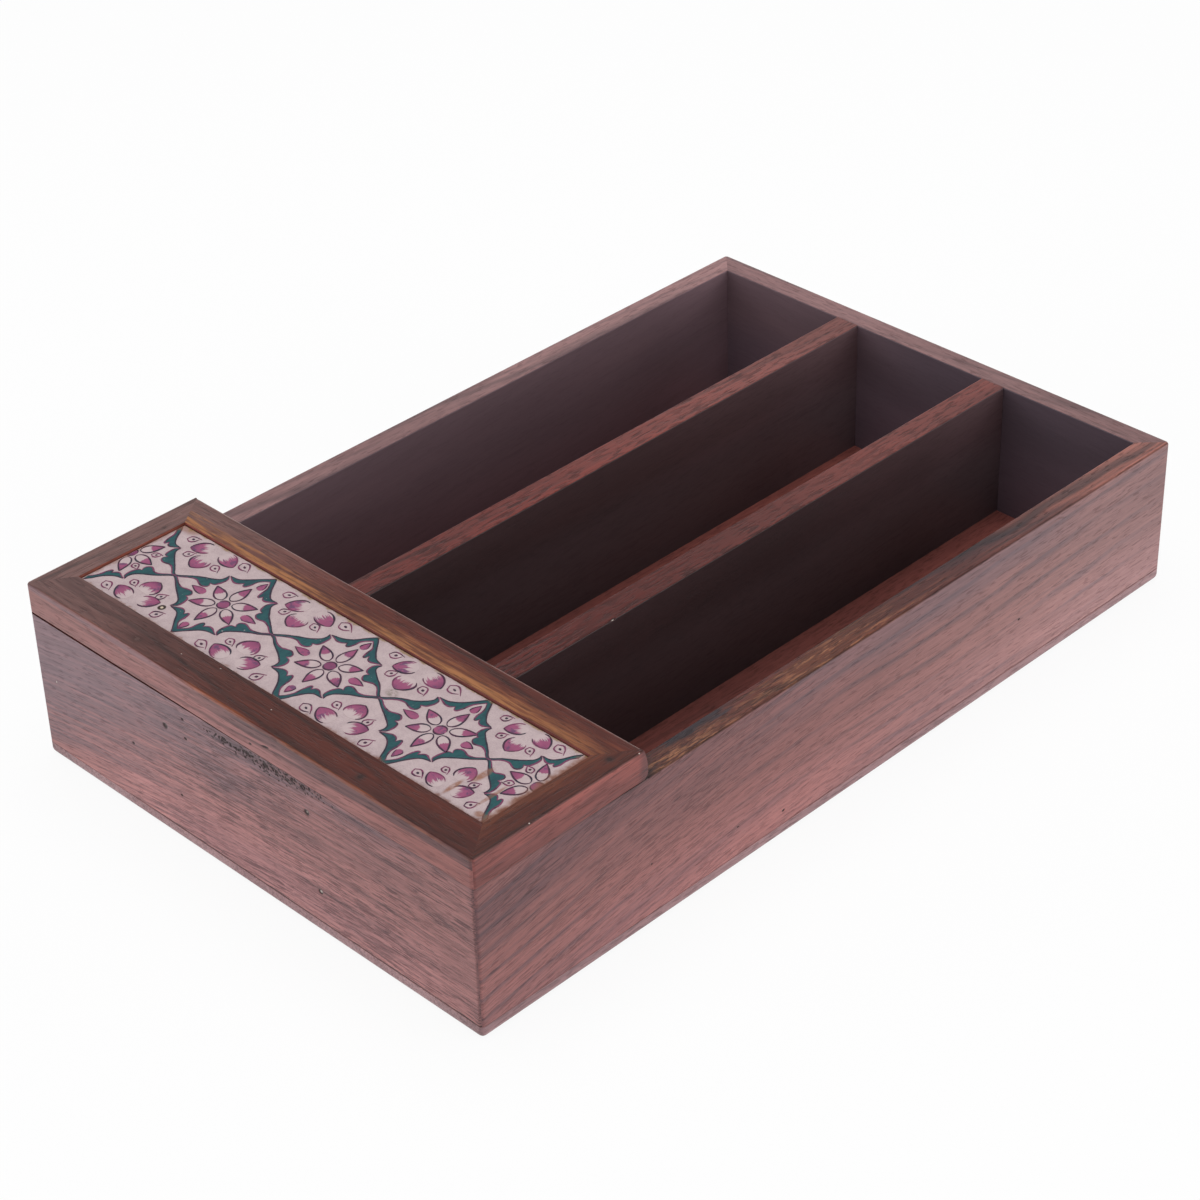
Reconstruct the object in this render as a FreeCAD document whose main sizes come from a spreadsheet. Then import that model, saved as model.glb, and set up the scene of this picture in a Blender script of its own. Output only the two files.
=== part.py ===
import FreeCAD, Part
import math
import os
import Sketcher

# Cutlery stand: an open hardwood tray with mitred walls, two partitions in stopped housings,
# a base board pinned on from below, and a mitred frame with an inlaid tile across the front.
# Millimetres, +Z up, front towards -Y, origin at the bottom centre of the tray.

# Driving sizes
SIZES = {
    # Tray, outside
    "tray_width": 207.5,
    "tray_depth": 330.0,
    "rim_height": 56.5,
    "wall_thick": 9.0,
    "base_thick": 5.0,
    # Roundings of the tray
    "corner_round": 1.5,
    "rim_round": 1.0,
    "arris_round": 0.5,
    "base_round": 2.5,
    "seam_ease": 0.25,
    # Partitions and the clear widths between them; the right-hand bay takes what is left
    "divider_thick": 10.0,
    "left_bay": 55.0,
    "middle_bay": 58.0,
    "housing_depth": 3.0,
    "housing_stop": 8.0,
    "housing_clearance": 0.1,
    # Frame around the tile; its thickness is the backing, the tile and the recess together
    "cover_depth": 71.0,
    "rail_width": 13.7,
    "stile_width": 9.8,
    "cover_round": 0.8,
    "cover_rear_round": 3.0,
    "cover_rear_lean": 1.6,
    # Tile and its backing board
    "tile_thick": 5.2,
    "tile_recess": 0.8,
    "tile_clearance": 0.3,
    "tile_arris": 0.4,
    "backing_thick": 5.0,
    "rebate_width": 3.4,
    "backing_clearance": 0.1,
    # Headless pins
    "pin_diameter": 1.6,
    "pin_length": 20.0,
    "pin_point": 0.5,
    "pin_clearance": 0.03,
    "base_pin_sink": 0.5,
    "base_pin_inset": 40.0,
    "cover_pin_span": 104.0,
    "cover_pin_setback": 11.5,
    "filler_depth": 1.5,
}

doc = FreeCAD.newDocument("cutlery_stand")
sheet = doc.addObject("Spreadsheet::Sheet", "sizes")
for row, (alias, size) in enumerate(SIZES.items(), start=1):
    sheet.set(f"A{row}", alias)
    sheet.set(f"B{row}", str(size))
    sheet.setAlias(f"B{row}", alias)
doc.recompute()

# Sizes and places worked out from the driving ones, as expressions
HALF_WIDTH = "(sizes.tray_width / 2)"
HALF_DEPTH = "(sizes.tray_depth / 2)"
INNER_X = f"({HALF_WIDTH} - sizes.wall_thick)"
INNER_Y = f"({HALF_DEPTH} - sizes.wall_thick)"
WALL_HEIGHT = "(sizes.rim_height - sizes.base_thick)"
WALL_MIDDLE_X = f"({HALF_WIDTH} - sizes.wall_thick / 2)"
WALL_MIDDLE_Y = f"({HALF_DEPTH} - sizes.wall_thick / 2)"
LEFT_DIVIDER_X = f"(sizes.left_bay + sizes.divider_thick / 2 - {INNER_X})"
RIGHT_DIVIDER_X = f"({LEFT_DIVIDER_X} + sizes.divider_thick + sizes.middle_bay)"
HOUSING_TOP = "(sizes.rim_height - sizes.housing_stop)"
COVER_THICK = "(sizes.backing_thick + sizes.tile_thick + sizes.tile_recess)"
COVER_TOP = f"(sizes.rim_height + {COVER_THICK})"
COVER_REAR = f"(sizes.cover_depth - {HALF_DEPTH})"
TILE_BED = "(sizes.rim_height + sizes.backing_thick)"
FRAME_X = f"({HALF_WIDTH} - sizes.stile_width)"
FRAME_FRONT = f"(sizes.rail_width - {HALF_DEPTH})"
FRAME_REAR = f"({COVER_REAR} - sizes.rail_width)"
PIN_HOLE_RADIUS = "(sizes.pin_diameter / 2 + sizes.pin_clearance)"
BASE_PIN_X = f"({HALF_WIDTH} - sizes.base_pin_inset)"
BASE_PIN_Y = f"({HALF_DEPTH} - sizes.base_pin_inset)"
COVER_PIN_TOP = f"({COVER_TOP} - sizes.filler_depth)"
COVER_PIN_TIP = f"({COVER_PIN_TOP} - sizes.pin_length)"

# Pin centres, shared by the pins and by every piece that they go through
BASE_PINS = (
    [(side + BASE_PIN_X, end + WALL_MIDDLE_Y) for side in "-+" for end in "-+"]
    + [(side + WALL_MIDDLE_X, end + BASE_PIN_Y) for side in "-+" for end in "-+"]
    + [(x, "0") for x in (LEFT_DIVIDER_X, RIGHT_DIVIDER_X)]
)
COVER_PINS = (
    [(side + "sizes.cover_pin_span / 2", "-" + WALL_MIDDLE_Y) for side in "-+"]
    + [(side + WALL_MIDDLE_X, f"{COVER_REAR} - sizes.cover_pin_setback") for side in "-+"]
)


def value(expression):
    """The number that an expression of the sheet stands for."""
    return float(sheet.evalExpression(expression))


def new_body(label):
    body = doc.addObject("PartDesign::Body", label)
    body.Label = label
    return body


def new_sketch(body, name, role, offset="0"):
    """Empty sketch parallel to an origin plane of its body, moved along that plane's normal."""
    sketch = body.newObject("Sketcher::SketchObject", f"{body.Name}_{name}")
    support = next(plane for plane in body.Origin.OriginFeatures if plane.Role == role)
    sketch.AttachmentSupport = [(support, "")]
    sketch.MapMode = "FlatFace"
    sketch.setExpression("AttachmentOffset.Base.z", offset)
    return sketch


def bind(sketch, expression, kind, *where):
    """Dimension of a sketch that takes its value from the sheet."""
    index = sketch.addConstraint(Sketcher.Constraint(kind, *where, value(expression)))
    sketch.setExpression(f"Constraints[{index}]", expression)


def place(sketch, x, y, geometry, position):
    bind(sketch, x, "DistanceX", -1, 1, geometry, position)
    bind(sketch, y, "DistanceY", -1, 1, geometry, position)


def add_outline(sketch, corners):
    """Closed outline. A corner is (x, y), or (x, y, centre x, centre y, radius) where the
    side that follows it is an arc about that centre."""
    points = [FreeCAD.Vector(value(corner[0]), value(corner[1])) for corner in corners]
    sides = []
    for index, corner in enumerate(corners):
        start = points[index]
        end = points[(index + 1) % len(points)]
        if len(corner) == 2:
            sides.append((sketch.addGeometry(Part.LineSegment(start, end)), 1, 2))
            continue
        centre = FreeCAD.Vector(value(corner[2]), value(corner[3]))
        circle = Part.Circle(centre, FreeCAD.Vector(0, 0, 1), value(corner[4]))
        clockwise = (start - centre).cross(end - centre).z < 0
        first, last = (end, start) if clockwise else (start, end)
        angles = [math.atan2(p.y - centre.y, p.x - centre.x) for p in (first, last)]
        if angles[1] < angles[0]:
            angles[1] += 2 * math.pi
        arc = sketch.addGeometry(Part.ArcOfCircle(circle, *angles))
        bind(sketch, corner[4], "Radius", arc)
        sides.append((arc, 2, 1) if clockwise else (arc, 1, 2))
    for index, corner in enumerate(corners):
        before, _, before_end = sides[index - 1]
        side, side_start, _ = sides[index]
        sketch.addConstraint(Sketcher.Constraint("Coincident", before, before_end, side, side_start))
        place(sketch, corner[0], corner[1], side, side_start)


def add_circle(sketch, x, y, radius):
    centre = FreeCAD.Vector(value(x), value(y))
    circle = sketch.addGeometry(Part.Circle(centre, FreeCAD.Vector(0, 0, 1), value(radius)))
    bind(sketch, radius, "Radius", circle)
    place(sketch, x, y, circle, 3)


def rectangle(x_low, y_low, x_high, y_high):
    return [(x_low, y_low), (x_high, y_low), (x_high, y_high), (x_low, y_high)]


def corner_cut(x, y, inward_x, inward_y, radius):
    """What is taken off a square corner at (x, y) to leave a quarter round; the signs point
    from the corner into the piece."""
    round_x = f"{x} {inward_x} {radius}"
    round_y = f"{y} {inward_y} {radius}"
    return [(x, y), (round_x, y, round_x, round_y, radius), (x, round_y)]


def pad(body, name, sketch, length):
    feature = body.newObject("PartDesign::Pad", f"{body.Name}_{name}")
    feature.Profile = sketch
    feature.setExpression("Length", length)
    doc.recompute()
    return feature


def pocket(body, name, sketch, depth=None, upwards=False, must_cut=True):
    """Cut against the sketch's normal, or along it, to a depth or right through."""
    volume_before = body.Tip.Shape.Volume
    feature = body.newObject("PartDesign::Pocket", f"{body.Name}_{name}")
    feature.Profile = sketch
    feature.Reversed = upwards
    if depth is None:
        feature.Type = "ThroughAll"
    else:
        feature.setExpression("Length", depth)
    doc.recompute()
    if must_cut and not feature.Shape.Volume < volume_before:
        raise RuntimeError(f"{feature.Name} cuts nothing")
    return feature


def dress(body, name, kind, size_name, size, picked):
    """Round or bevel the edges of the body's last feature that picked() chooses."""
    base = body.Tip
    names = [f"Edge{i}" for i, edge in enumerate(base.Shape.Edges, start=1) if picked(edge)]
    if not names:
        raise RuntimeError(f"{body.Name}_{name} finds no edge")
    feature = body.newObject(f"PartDesign::{kind}", f"{body.Name}_{name}")
    feature.Base = (base, names)
    feature.setExpression(size_name, size)
    doc.recompute()
    return feature


def round_edges(body, name, radius, picked):
    return dress(body, name, "Fillet", "Radius", radius, picked)


def bevel_edges(body, name, size, picked):
    return dress(body, name, "Chamfer", "Size", size, picked)


def edge_middle(edge):
    return edge.valueAt((edge.FirstParameter + edge.LastParameter) / 2)


def near(number, expression):
    return abs(number - value(expression)) < 1e-4


def level_at(edge, height):
    """Whether an edge lies flat at a height."""
    return all(near(vertex.Z, height) for vertex in edge.Vertexes)


def on_outside(edge, rear, margin):
    """Whether an edge runs along the outside of the tray, or of the frame that ends at rear."""
    middle = edge_middle(edge)
    to_side = value(HALF_WIDTH) - abs(middle.x)
    to_front = middle.y + value(HALF_DEPTH)
    to_rear = value(rear) - middle.y
    return min(to_side, to_front, to_rear) < value(margin)


def drill(body, name, centres, start, depth=None, upwards=False):
    """Pin holes from a height downwards or upwards; a centre beside the piece leaves it whole."""
    sketch = new_sketch(body, f"{name}_sketch", "XY_Plane", start)
    for x, y in centres:
        add_circle(sketch, x, y, PIN_HOLE_RADIUS)
    return pocket(body, name, sketch, depth, upwards, must_cut=False)


def drill_for_base_pins(body):
    depth = "sizes.base_pin_sink + sizes.pin_length"
    return drill(body, "base_pin_holes", BASE_PINS, "0", depth, upwards=True)


def drill_for_cover_pins(body):
    depth = "sizes.filler_depth + sizes.pin_length"
    return drill(body, "cover_pin_holes", COVER_PINS, COVER_TOP, depth)


def round_upright_corners(body, name, corners, top):
    """Round the sharp outer corners at (x, y, inward x, inward y) for the whole height."""
    sketch = new_sketch(body, f"{name}_sketch", "XY_Plane", top)
    for corner in corners:
        add_outline(sketch, corner_cut(*corner, "sizes.corner_round"))
    return pocket(body, name, sketch)


INWARD = {"-": "+", "+": "-"}


def outer_corner(side, end):
    """The corner of the tray at a side (- left, + right) and an end (- front, + rear)."""
    return (side + HALF_WIDTH, end + HALF_DEPTH, INWARD[side], INWARD[end])


# Base board, planted under the walls
def make_base_panel():
    body = new_body("base_panel")
    sketch = new_sketch(body, "outline", "XY_Plane")
    add_outline(sketch, rectangle("-" + HALF_WIDTH, "-" + HALF_DEPTH, HALF_WIDTH, HALF_DEPTH))
    pad(body, "board", sketch, "sizes.base_thick")
    round_edges(
        body, "corners", "sizes.corner_round",
        lambda edge: edge.Vertexes[0].Z != edge.Vertexes[-1].Z,
    )
    round_edges(body, "foot_round", "sizes.base_round", lambda edge: level_at(edge, "0"))
    bevel_edges(body, "seam", "sizes.seam_ease", lambda edge: level_at(edge, "sizes.base_thick"))
    drill_for_base_pins(body)
    return body


# Short walls, with a stopped housing for the end of each partition
def make_short_wall(label, end):
    inner = end + INNER_Y
    outer = end + HALF_DEPTH
    housing_floor = f"{inner} {end} sizes.housing_depth"
    body = new_body(label)
    sketch = new_sketch(body, "outline", "XY_Plane", "sizes.base_thick")
    add_outline(sketch, [
        ("-" + HALF_WIDTH, outer),
        (HALF_WIDTH, outer),
        (INNER_X, inner),
        ("-" + INNER_X, inner),
    ])
    pad(body, "board", sketch, WALL_HEIGHT)
    corners = [outer_corner(side, end) for side in "-+"]
    round_upright_corners(body, "corners", corners, "sizes.rim_height")
    if end == "+":
        round_edges(
            body, "rim_round", "sizes.rim_round",
            lambda edge: level_at(edge, "sizes.rim_height")
            and on_outside(edge, HALF_DEPTH, "sizes.wall_thick / 4"),
        )
        round_edges(
            body, "inner_arris", "sizes.arris_round",
            lambda edge: level_at(edge, "sizes.rim_height") and near(edge_middle(edge).y, inner),
        )
    housings = new_sketch(body, "housing_sketch", "XY_Plane", HOUSING_TOP)
    half_slot = "(sizes.divider_thick / 2 + sizes.housing_clearance)"
    for x in (LEFT_DIVIDER_X, RIGHT_DIVIDER_X):
        add_outline(housings, rectangle(f"{x} - {half_slot}", housing_floor, f"{x} + {half_slot}", inner))
    pocket(body, "housings", housings)
    drill_for_base_pins(body)
    if end == "-":
        drill_for_cover_pins(body)
    return body


# Long walls: the open stretch has rounded arrises, the stretch under the frame is left square
def make_long_wall(label, side):
    outer = side + HALF_WIDTH
    inner = side + INNER_X
    body = new_body(label)
    open_sketch = new_sketch(body, "open_outline", "XY_Plane", "sizes.base_thick")
    add_outline(open_sketch, [
        (outer, COVER_REAR),
        (outer, HALF_DEPTH),
        (inner, INNER_Y),
        (inner, COVER_REAR),
    ])
    pad(body, "open_stretch", open_sketch, WALL_HEIGHT)
    round_upright_corners(body, "rear_corner", [outer_corner(side, "+")], "sizes.rim_height")
    round_edges(
        body, "rim_round", "sizes.rim_round",
        lambda edge: level_at(edge, "sizes.rim_height")
        and on_outside(edge, HALF_DEPTH, "sizes.wall_thick / 4"),
    )
    round_edges(
        body, "inner_arris", "sizes.arris_round",
        lambda edge: level_at(edge, "sizes.rim_height") and near(edge_middle(edge).x, inner),
    )
    covered_sketch = new_sketch(body, "covered_outline", "XY_Plane", "sizes.base_thick")
    add_outline(covered_sketch, [
        (outer, "-" + HALF_DEPTH),
        (outer, COVER_REAR),
        (inner, COVER_REAR),
        (inner, "-" + INNER_Y),
    ])
    pad(body, "covered_stretch", covered_sketch, WALL_HEIGHT)
    round_upright_corners(body, "front_corner", [outer_corner(side, "-")], "sizes.rim_height")
    drill_for_base_pins(body)
    drill_for_cover_pins(body)
    return body


# Partitions, notched at the top of each end to pass the stopped housings
def make_divider(label, middle_x):
    tongue = f"({INNER_Y} + sizes.housing_depth - sizes.housing_clearance)"
    shoulder = f"({HOUSING_TOP} - sizes.housing_clearance)"
    body = new_body(label)
    sketch = new_sketch(body, "outline", "YZ_Plane", f"{middle_x} - sizes.divider_thick / 2")
    add_outline(sketch, [
        ("-" + tongue, "sizes.base_thick"),
        (tongue, "sizes.base_thick"),
        (tongue, shoulder),
        (INNER_Y, shoulder),
        (INNER_Y, "sizes.rim_height"),
        ("-" + INNER_Y, "sizes.rim_height"),
        ("-" + INNER_Y, shoulder),
        ("-" + tongue, shoulder),
    ])
    pad(body, "board", sketch, "sizes.divider_thick")
    round_edges(
        body, "arris", "sizes.arris_round",
        lambda edge: level_at(edge, "sizes.rim_height") and near(edge_middle(edge).y, "0"),
    )
    drill_for_base_pins(body)
    return body


# Frame around the tile: mitred pieces with a rebate underneath for the backing board
def finish_frame_piece(body, front_sides, on_walls):
    """Round the outside, ease the seam where it lies on a wall, rebate the underside and drill
    for the pins. The piece reaches the front corners at front_sides."""
    if front_sides:
        corners = [outer_corner(side, "-") for side in front_sides]
        round_upright_corners(body, "corners", corners, COVER_TOP)
    round_edges(
        body, "outer_arris", "sizes.cover_round",
        lambda edge: level_at(edge, COVER_TOP)
        and on_outside(edge, COVER_REAR, "sizes.stile_width / 4"),
    )
    if on_walls:
        bevel_edges(
            body, "seam", "sizes.seam_ease",
            lambda edge: level_at(edge, "sizes.rim_height")
            and on_outside(edge, COVER_REAR, "sizes.stile_width / 4"),
        )
    rebate = new_sketch(body, "rebate_sketch", "XY_Plane", TILE_BED)
    add_outline(rebate, rectangle(
        f"-{FRAME_X} - sizes.rebate_width",
        f"{FRAME_FRONT} - sizes.rebate_width",
        f"{FRAME_X} + sizes.rebate_width",
        f"{FRAME_REAR} + sizes.rebate_width",
    ))
    pocket(body, "rebate", rebate)
    drill_for_cover_pins(body)


def shape_rear_edge(body):
    """Nose the rear edge of the frame, right across it: a long arc that leans in towards the
    top, and a quarter round underneath."""
    widest = "(sizes.rim_height + sizes.cover_rear_round)"
    rise = f"({COVER_TOP} - {widest})"
    radius = f"(({rise} ^ 2 + sizes.cover_rear_lean ^ 2) / (2 * sizes.cover_rear_lean))"
    sketch = new_sketch(body, "rear_nose_sketch", "YZ_Plane", HALF_WIDTH)
    add_outline(sketch, corner_cut(COVER_REAR, "sizes.rim_height", "-", "+", "sizes.cover_rear_round"))
    add_outline(sketch, [
        (COVER_REAR, COVER_TOP),
        (f"{COVER_REAR} - sizes.cover_rear_lean", COVER_TOP, f"{COVER_REAR} - {radius}", widest, radius),
        (COVER_REAR, widest),
    ])
    pocket(body, "rear_nose", sketch)


def make_cover_rail(label, outer_y, inner_y, end):
    body = new_body(label)
    sketch = new_sketch(body, "outline", "XY_Plane", "sizes.rim_height")
    add_outline(sketch, [
        ("-" + HALF_WIDTH, outer_y),
        (HALF_WIDTH, outer_y),
        (FRAME_X, inner_y),
        ("-" + FRAME_X, inner_y),
    ])
    pad(body, "board", sketch, COVER_THICK)
    if end == "+":
        shape_rear_edge(body)
    in_front = end == "-"
    finish_frame_piece(body, "-+" if in_front else "", on_walls=in_front)
    return body


def make_cover_stile(label, side):
    outer = side + HALF_WIDTH
    inner = side + FRAME_X
    body = new_body(label)
    sketch = new_sketch(body, "outline", "XY_Plane", "sizes.rim_height")
    add_outline(sketch, [
        (outer, "-" + HALF_DEPTH),
        (outer, COVER_REAR),
        (inner, FRAME_REAR),
        (inner, FRAME_FRONT),
    ])
    pad(body, "board", sketch, COVER_THICK)
    finish_frame_piece(body, side, on_walls=True)
    shape_rear_edge(body)
    return body


# Backing board in the rebate, and the tile bedded on it
def make_slab(label, margin, bottom, thick):
    """Flat slab over the frame's opening, larger than it all round by a margin."""
    body = new_body(label)
    sketch = new_sketch(body, "outline", "XY_Plane", bottom)
    add_outline(sketch, rectangle(
        f"-{FRAME_X} - {margin}",
        f"{FRAME_FRONT} - {margin}",
        f"{FRAME_X} + {margin}",
        f"{FRAME_REAR} + {margin}",
    ))
    pad(body, "slab", sketch, thick)
    return body


# Pins and fillers: groups of separate cylinders on the shared centres
def make_round_group(label, centres, radius, start, length):
    body = new_body(label)
    body.AllowCompound = True
    sketch = new_sketch(body, "sections", "XY_Plane", start)
    for x, y in centres:
        add_circle(sketch, x, y, radius)
    pad(body, "rods", sketch, length)
    return body


def make_pins(label, centres, start, point_height):
    body = make_round_group(label, centres, "sizes.pin_diameter / 2", start, "sizes.pin_length")
    bevel_edges(body, "points", "sizes.pin_point", lambda edge: level_at(edge, point_height))
    return body


base_panel = make_base_panel()
front_wall = make_short_wall("front_wall", "-")
back_wall = make_short_wall("back_wall", "+")
left_wall = make_long_wall("left_wall", "-")
right_wall = make_long_wall("right_wall", "+")
left_divider = make_divider("left_divider", LEFT_DIVIDER_X)
right_divider = make_divider("right_divider", RIGHT_DIVIDER_X)
cover_front_rail = make_cover_rail("cover_front_rail", "-" + HALF_DEPTH, FRAME_FRONT, "-")
cover_back_rail = make_cover_rail("cover_back_rail", COVER_REAR, FRAME_REAR, "+")
cover_left_stile = make_cover_stile("cover_left_stile", "-")
cover_right_stile = make_cover_stile("cover_right_stile", "+")
tile_backing = make_slab(
    "tile_backing", "(sizes.rebate_width - sizes.backing_clearance)",
    "sizes.rim_height", "sizes.backing_thick",
)
drill_for_cover_pins(tile_backing)
tile = make_slab("tile", "(-sizes.tile_clearance)", TILE_BED, "sizes.tile_thick")
round_edges(
    tile, "arris", "sizes.tile_arris",
    lambda edge: level_at(edge, f"{TILE_BED} + sizes.tile_thick"),
)
base_pins = make_pins(
    "base_pins", BASE_PINS, "sizes.base_pin_sink", "sizes.base_pin_sink + sizes.pin_length"
)
cover_pins = make_pins("cover_pins", COVER_PINS, COVER_PIN_TIP, COVER_PIN_TIP)
cover_pin_fillers = make_round_group(
    "cover_pin_fillers", COVER_PINS, PIN_HOLE_RADIUS, COVER_PIN_TOP, "sizes.filler_depth"
)

# Check every object before anything is written
doc.recompute()
for item in doc.Objects:
    if "Invalid" in item.State or "Error" in item.State:
        raise RuntimeError(f"{item.Label} failed: {item.State}")
bodies = [item for item in doc.Objects if item.TypeId == "PartDesign::Body"]
for body in bodies:
    if body.Shape.isNull() or not body.Shape.isValid():
        raise RuntimeError(f"{body.Label} has no valid shape")

os.makedirs("parts", exist_ok=True)
for body in bodies:
    body.Shape.exportStep(f"parts/{body.Label}.step")
    box = body.Shape.BoundBox
    print(
        f"{body.Label}: {len(body.Shape.Solids)} solids, {body.Shape.Volume:.1f} mm3,"
        f" x {box.XMin:.2f} to {box.XMax:.2f}, y {box.YMin:.2f} to {box.YMax:.2f},"
        f" z {box.ZMin:.2f} to {box.ZMax:.2f}"
    )
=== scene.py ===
import math
import random
from collections import namedtuple

import bmesh
import bpy
from mathutils import Matrix, Vector, noise


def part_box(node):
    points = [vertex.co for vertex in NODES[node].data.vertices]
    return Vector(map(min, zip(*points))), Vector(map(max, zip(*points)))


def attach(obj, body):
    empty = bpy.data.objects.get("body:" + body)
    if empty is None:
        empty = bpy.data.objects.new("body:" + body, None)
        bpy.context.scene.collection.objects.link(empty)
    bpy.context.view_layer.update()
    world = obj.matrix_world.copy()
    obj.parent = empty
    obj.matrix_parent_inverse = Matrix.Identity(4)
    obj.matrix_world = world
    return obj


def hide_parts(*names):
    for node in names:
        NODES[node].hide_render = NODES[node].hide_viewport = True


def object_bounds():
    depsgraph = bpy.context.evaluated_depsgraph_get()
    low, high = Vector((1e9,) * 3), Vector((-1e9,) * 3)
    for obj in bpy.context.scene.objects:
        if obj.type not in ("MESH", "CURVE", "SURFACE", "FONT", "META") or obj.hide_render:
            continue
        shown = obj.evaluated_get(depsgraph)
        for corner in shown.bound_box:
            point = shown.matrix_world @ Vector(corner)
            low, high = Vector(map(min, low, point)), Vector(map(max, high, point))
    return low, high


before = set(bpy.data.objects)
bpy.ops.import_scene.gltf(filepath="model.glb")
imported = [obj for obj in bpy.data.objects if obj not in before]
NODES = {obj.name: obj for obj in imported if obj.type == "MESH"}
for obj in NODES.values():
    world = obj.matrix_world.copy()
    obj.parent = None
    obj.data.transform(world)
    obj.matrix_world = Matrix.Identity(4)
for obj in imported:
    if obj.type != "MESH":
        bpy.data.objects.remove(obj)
CAD_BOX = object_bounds()
MM = 0.001

# Camera, solved from the photograph's edges and corners
PHOTO_WIDTH = 1200
SENSOR_WIDTH = 36.0
FOCAL_PIXELS = 3049.46
VIEW_AZIMUTH = math.radians(45.61)
VIEW_ELEVATION = math.radians(33.94)
VIEW_ROLL = math.radians(-1.78)
VIEW_DISTANCE = 1018.74 * MM
VIEW_TARGET = Vector((2.31, -12.37, 33.02)) * MM

# Places that the pieces are set out from
TILE_LOW, TILE_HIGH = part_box("tile")
TILE_TOP = TILE_HIGH.z
TILE_CENTRE = (TILE_LOW + TILE_HIGH) / 2
FRONT_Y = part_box("front_wall")[0].y
RIGHT_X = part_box("right_wall")[1].x
RIM_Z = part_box("right_wall")[1].z
COVER_TOP_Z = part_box("cover_back_rail")[1].z
DIVIDER_RIGHT_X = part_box("right_divider")[1].x

X, Y, Z = (1, 0, 0), (0, 1, 0), (0, 0, 1)
MINUS_X, MINUS_Y, MINUS_Z = (-1, 0, 0), (0, -1, 0), (0, 0, -1)


def paint(red, green, blue):
    """A colour given in screen values of 0 to 255, as the linear colour that a shader takes."""
    def linear(value):
        share = value / 255
        return share / 12.92 if share <= 0.04045 else ((share + 0.055) / 1.055) ** 2.4
    return (linear(red), linear(green), linear(blue), 1.0)


class Nodes:
    """A node tree that short calls add to. A value may be a socket or a plain number."""

    def __init__(self, tree):
        self.tree = tree

    def feed(self, socket, value):
        if isinstance(value, bpy.types.NodeSocket):
            self.tree.links.new(value, socket)
        else:
            socket.default_value = value

    def fill(self, node, values):
        for name, value in values.items():
            self.feed(node.inputs[name], value)

    def node(self, kind, *values, **settings):
        made = self.tree.nodes.new("ShaderNode" + kind)
        for key, value in settings.items():
            setattr(made, key, value)
        for socket, value in zip(made.inputs, values):
            self.feed(socket, value)
        return made

    def math(self, operation, *values):
        return self.node("Math", *values, operation=operation).outputs[0]

    def times(self, first, *others):
        for other in others:
            first = self.math("MULTIPLY", first, other)
        return first

    def plus(self, first, second):
        return self.math("ADD", first, second)

    def most(self, first, second):
        return self.math("MAXIMUM", first, second)

    def vector(self, x, y, z):
        return self.node("CombineXYZ", x, y, z).outputs[0]

    def with_vector(self, operation, vector, other):
        return self.node("VectorMath", vector, other, operation=operation)

    def dot(self, vector, direction):
        return self.with_vector("DOT_PRODUCT", vector, direction).outputs["Value"]

    def distance(self, vector, point):
        return self.with_vector("DISTANCE", vector, point).outputs["Value"]

    def shifted(self, vector, offset):
        return self.with_vector("ADD", vector, offset).outputs["Vector"]

    def stretched(self, vector, scale):
        return self.with_vector("MULTIPLY", vector, scale).outputs["Vector"]

    def noise(self, vector, detail=2.0, roughness=0.5, distortion=0.0):
        made = self.node("TexNoise")
        self.fill(made, {"Vector": vector, "Scale": 1.0, "Detail": detail, "Roughness": roughness,
                         "Distortion": distortion})
        return made.outputs["Fac"]

    def ramp(self, value, start, end, low=0.0, high=1.0):
        made = self.node("MapRange", value, start, end, low, high, interpolation_type="SMOOTHSTEP")
        return made.outputs[0]

    def mix(self, factor, first, second, blend="MIX"):
        made = self.node("Mix", data_type="RGBA", blend_type=blend)
        for index, value in ((0, factor), (6, first), (7, second)):
            self.feed(made.inputs[index], value)
        return made.outputs[2]


class Look(Nodes):
    """A material under way: its surface, and the colour that is laid on so far."""

    def __init__(self, name):
        self.material = bpy.data.materials.new(name)
        self.material.use_nodes = True
        super().__init__(self.material.node_tree)
        self.surface = self.tree.nodes["Principled BSDF"]
        self.colour = None

    def place(self):
        return self.node("TexCoord").outputs["Object"]

    def attribute(self, name, result="Fac"):
        return self.node("Attribute", attribute_name=name).outputs[result]

    def tint(self, colour, *masks):
        """Lays a colour over the surface where all the masks are one."""
        self.colour = self.mix(self.times(*masks), self.colour, colour)

    def finish(self, roughness, height, depth, shine=0.5):
        bump = self.node("Bump")
        self.fill(bump, {"Strength": 1.0, "Distance": depth, "Height": height})
        self.fill(self.surface, {"Base Color": self.colour, "Roughness": roughness,
                                 "Specular IOR Level": shine, "Normal": bump.outputs["Normal"]})
        return self.material


# Wood

def tones(*values):
    """The light, dark and streak colours of a wood, each as three screen values."""
    return [paint(*values[start:start + 3]) for start in (0, 3, 6)]


FRONT = tones(160, 109, 106, 138, 97, 97, 78, 58, 63)
OUTER = tones(146, 95, 92, 122, 84, 85, 84, 67, 74)
# Painted light from behind: a lighter copy of the outer colour for the right wall towards the rear
OUTER_FAR_LIT = tones(166, 122, 118, 144, 109, 108, 110, 93, 99)
BASE_EDGE = tones(163, 129, 131, 149, 116, 118, 122, 97, 100)
COVER_SIDE = tones(154, 84, 77, 114, 66, 63, 78, 54, 56)
RAIL_FACE = tones(153, 107, 103, 142, 98, 96, 92, 68, 70)
RIM = tones(106, 57, 52, 80, 45, 42, 52, 36, 37)
# Painted light from behind: a lighter copy of the rim colour towards the rear
RIM_FAR_LIT = tones(174, 112, 100, 140, 91, 83, 98, 70, 68)
RIM_PALE = tones(149, 112, 111, 126, 94, 94, 98, 76, 78)
TOP_NEAR = tones(119, 51, 44, 96, 41, 37, 62, 34, 34)
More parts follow.
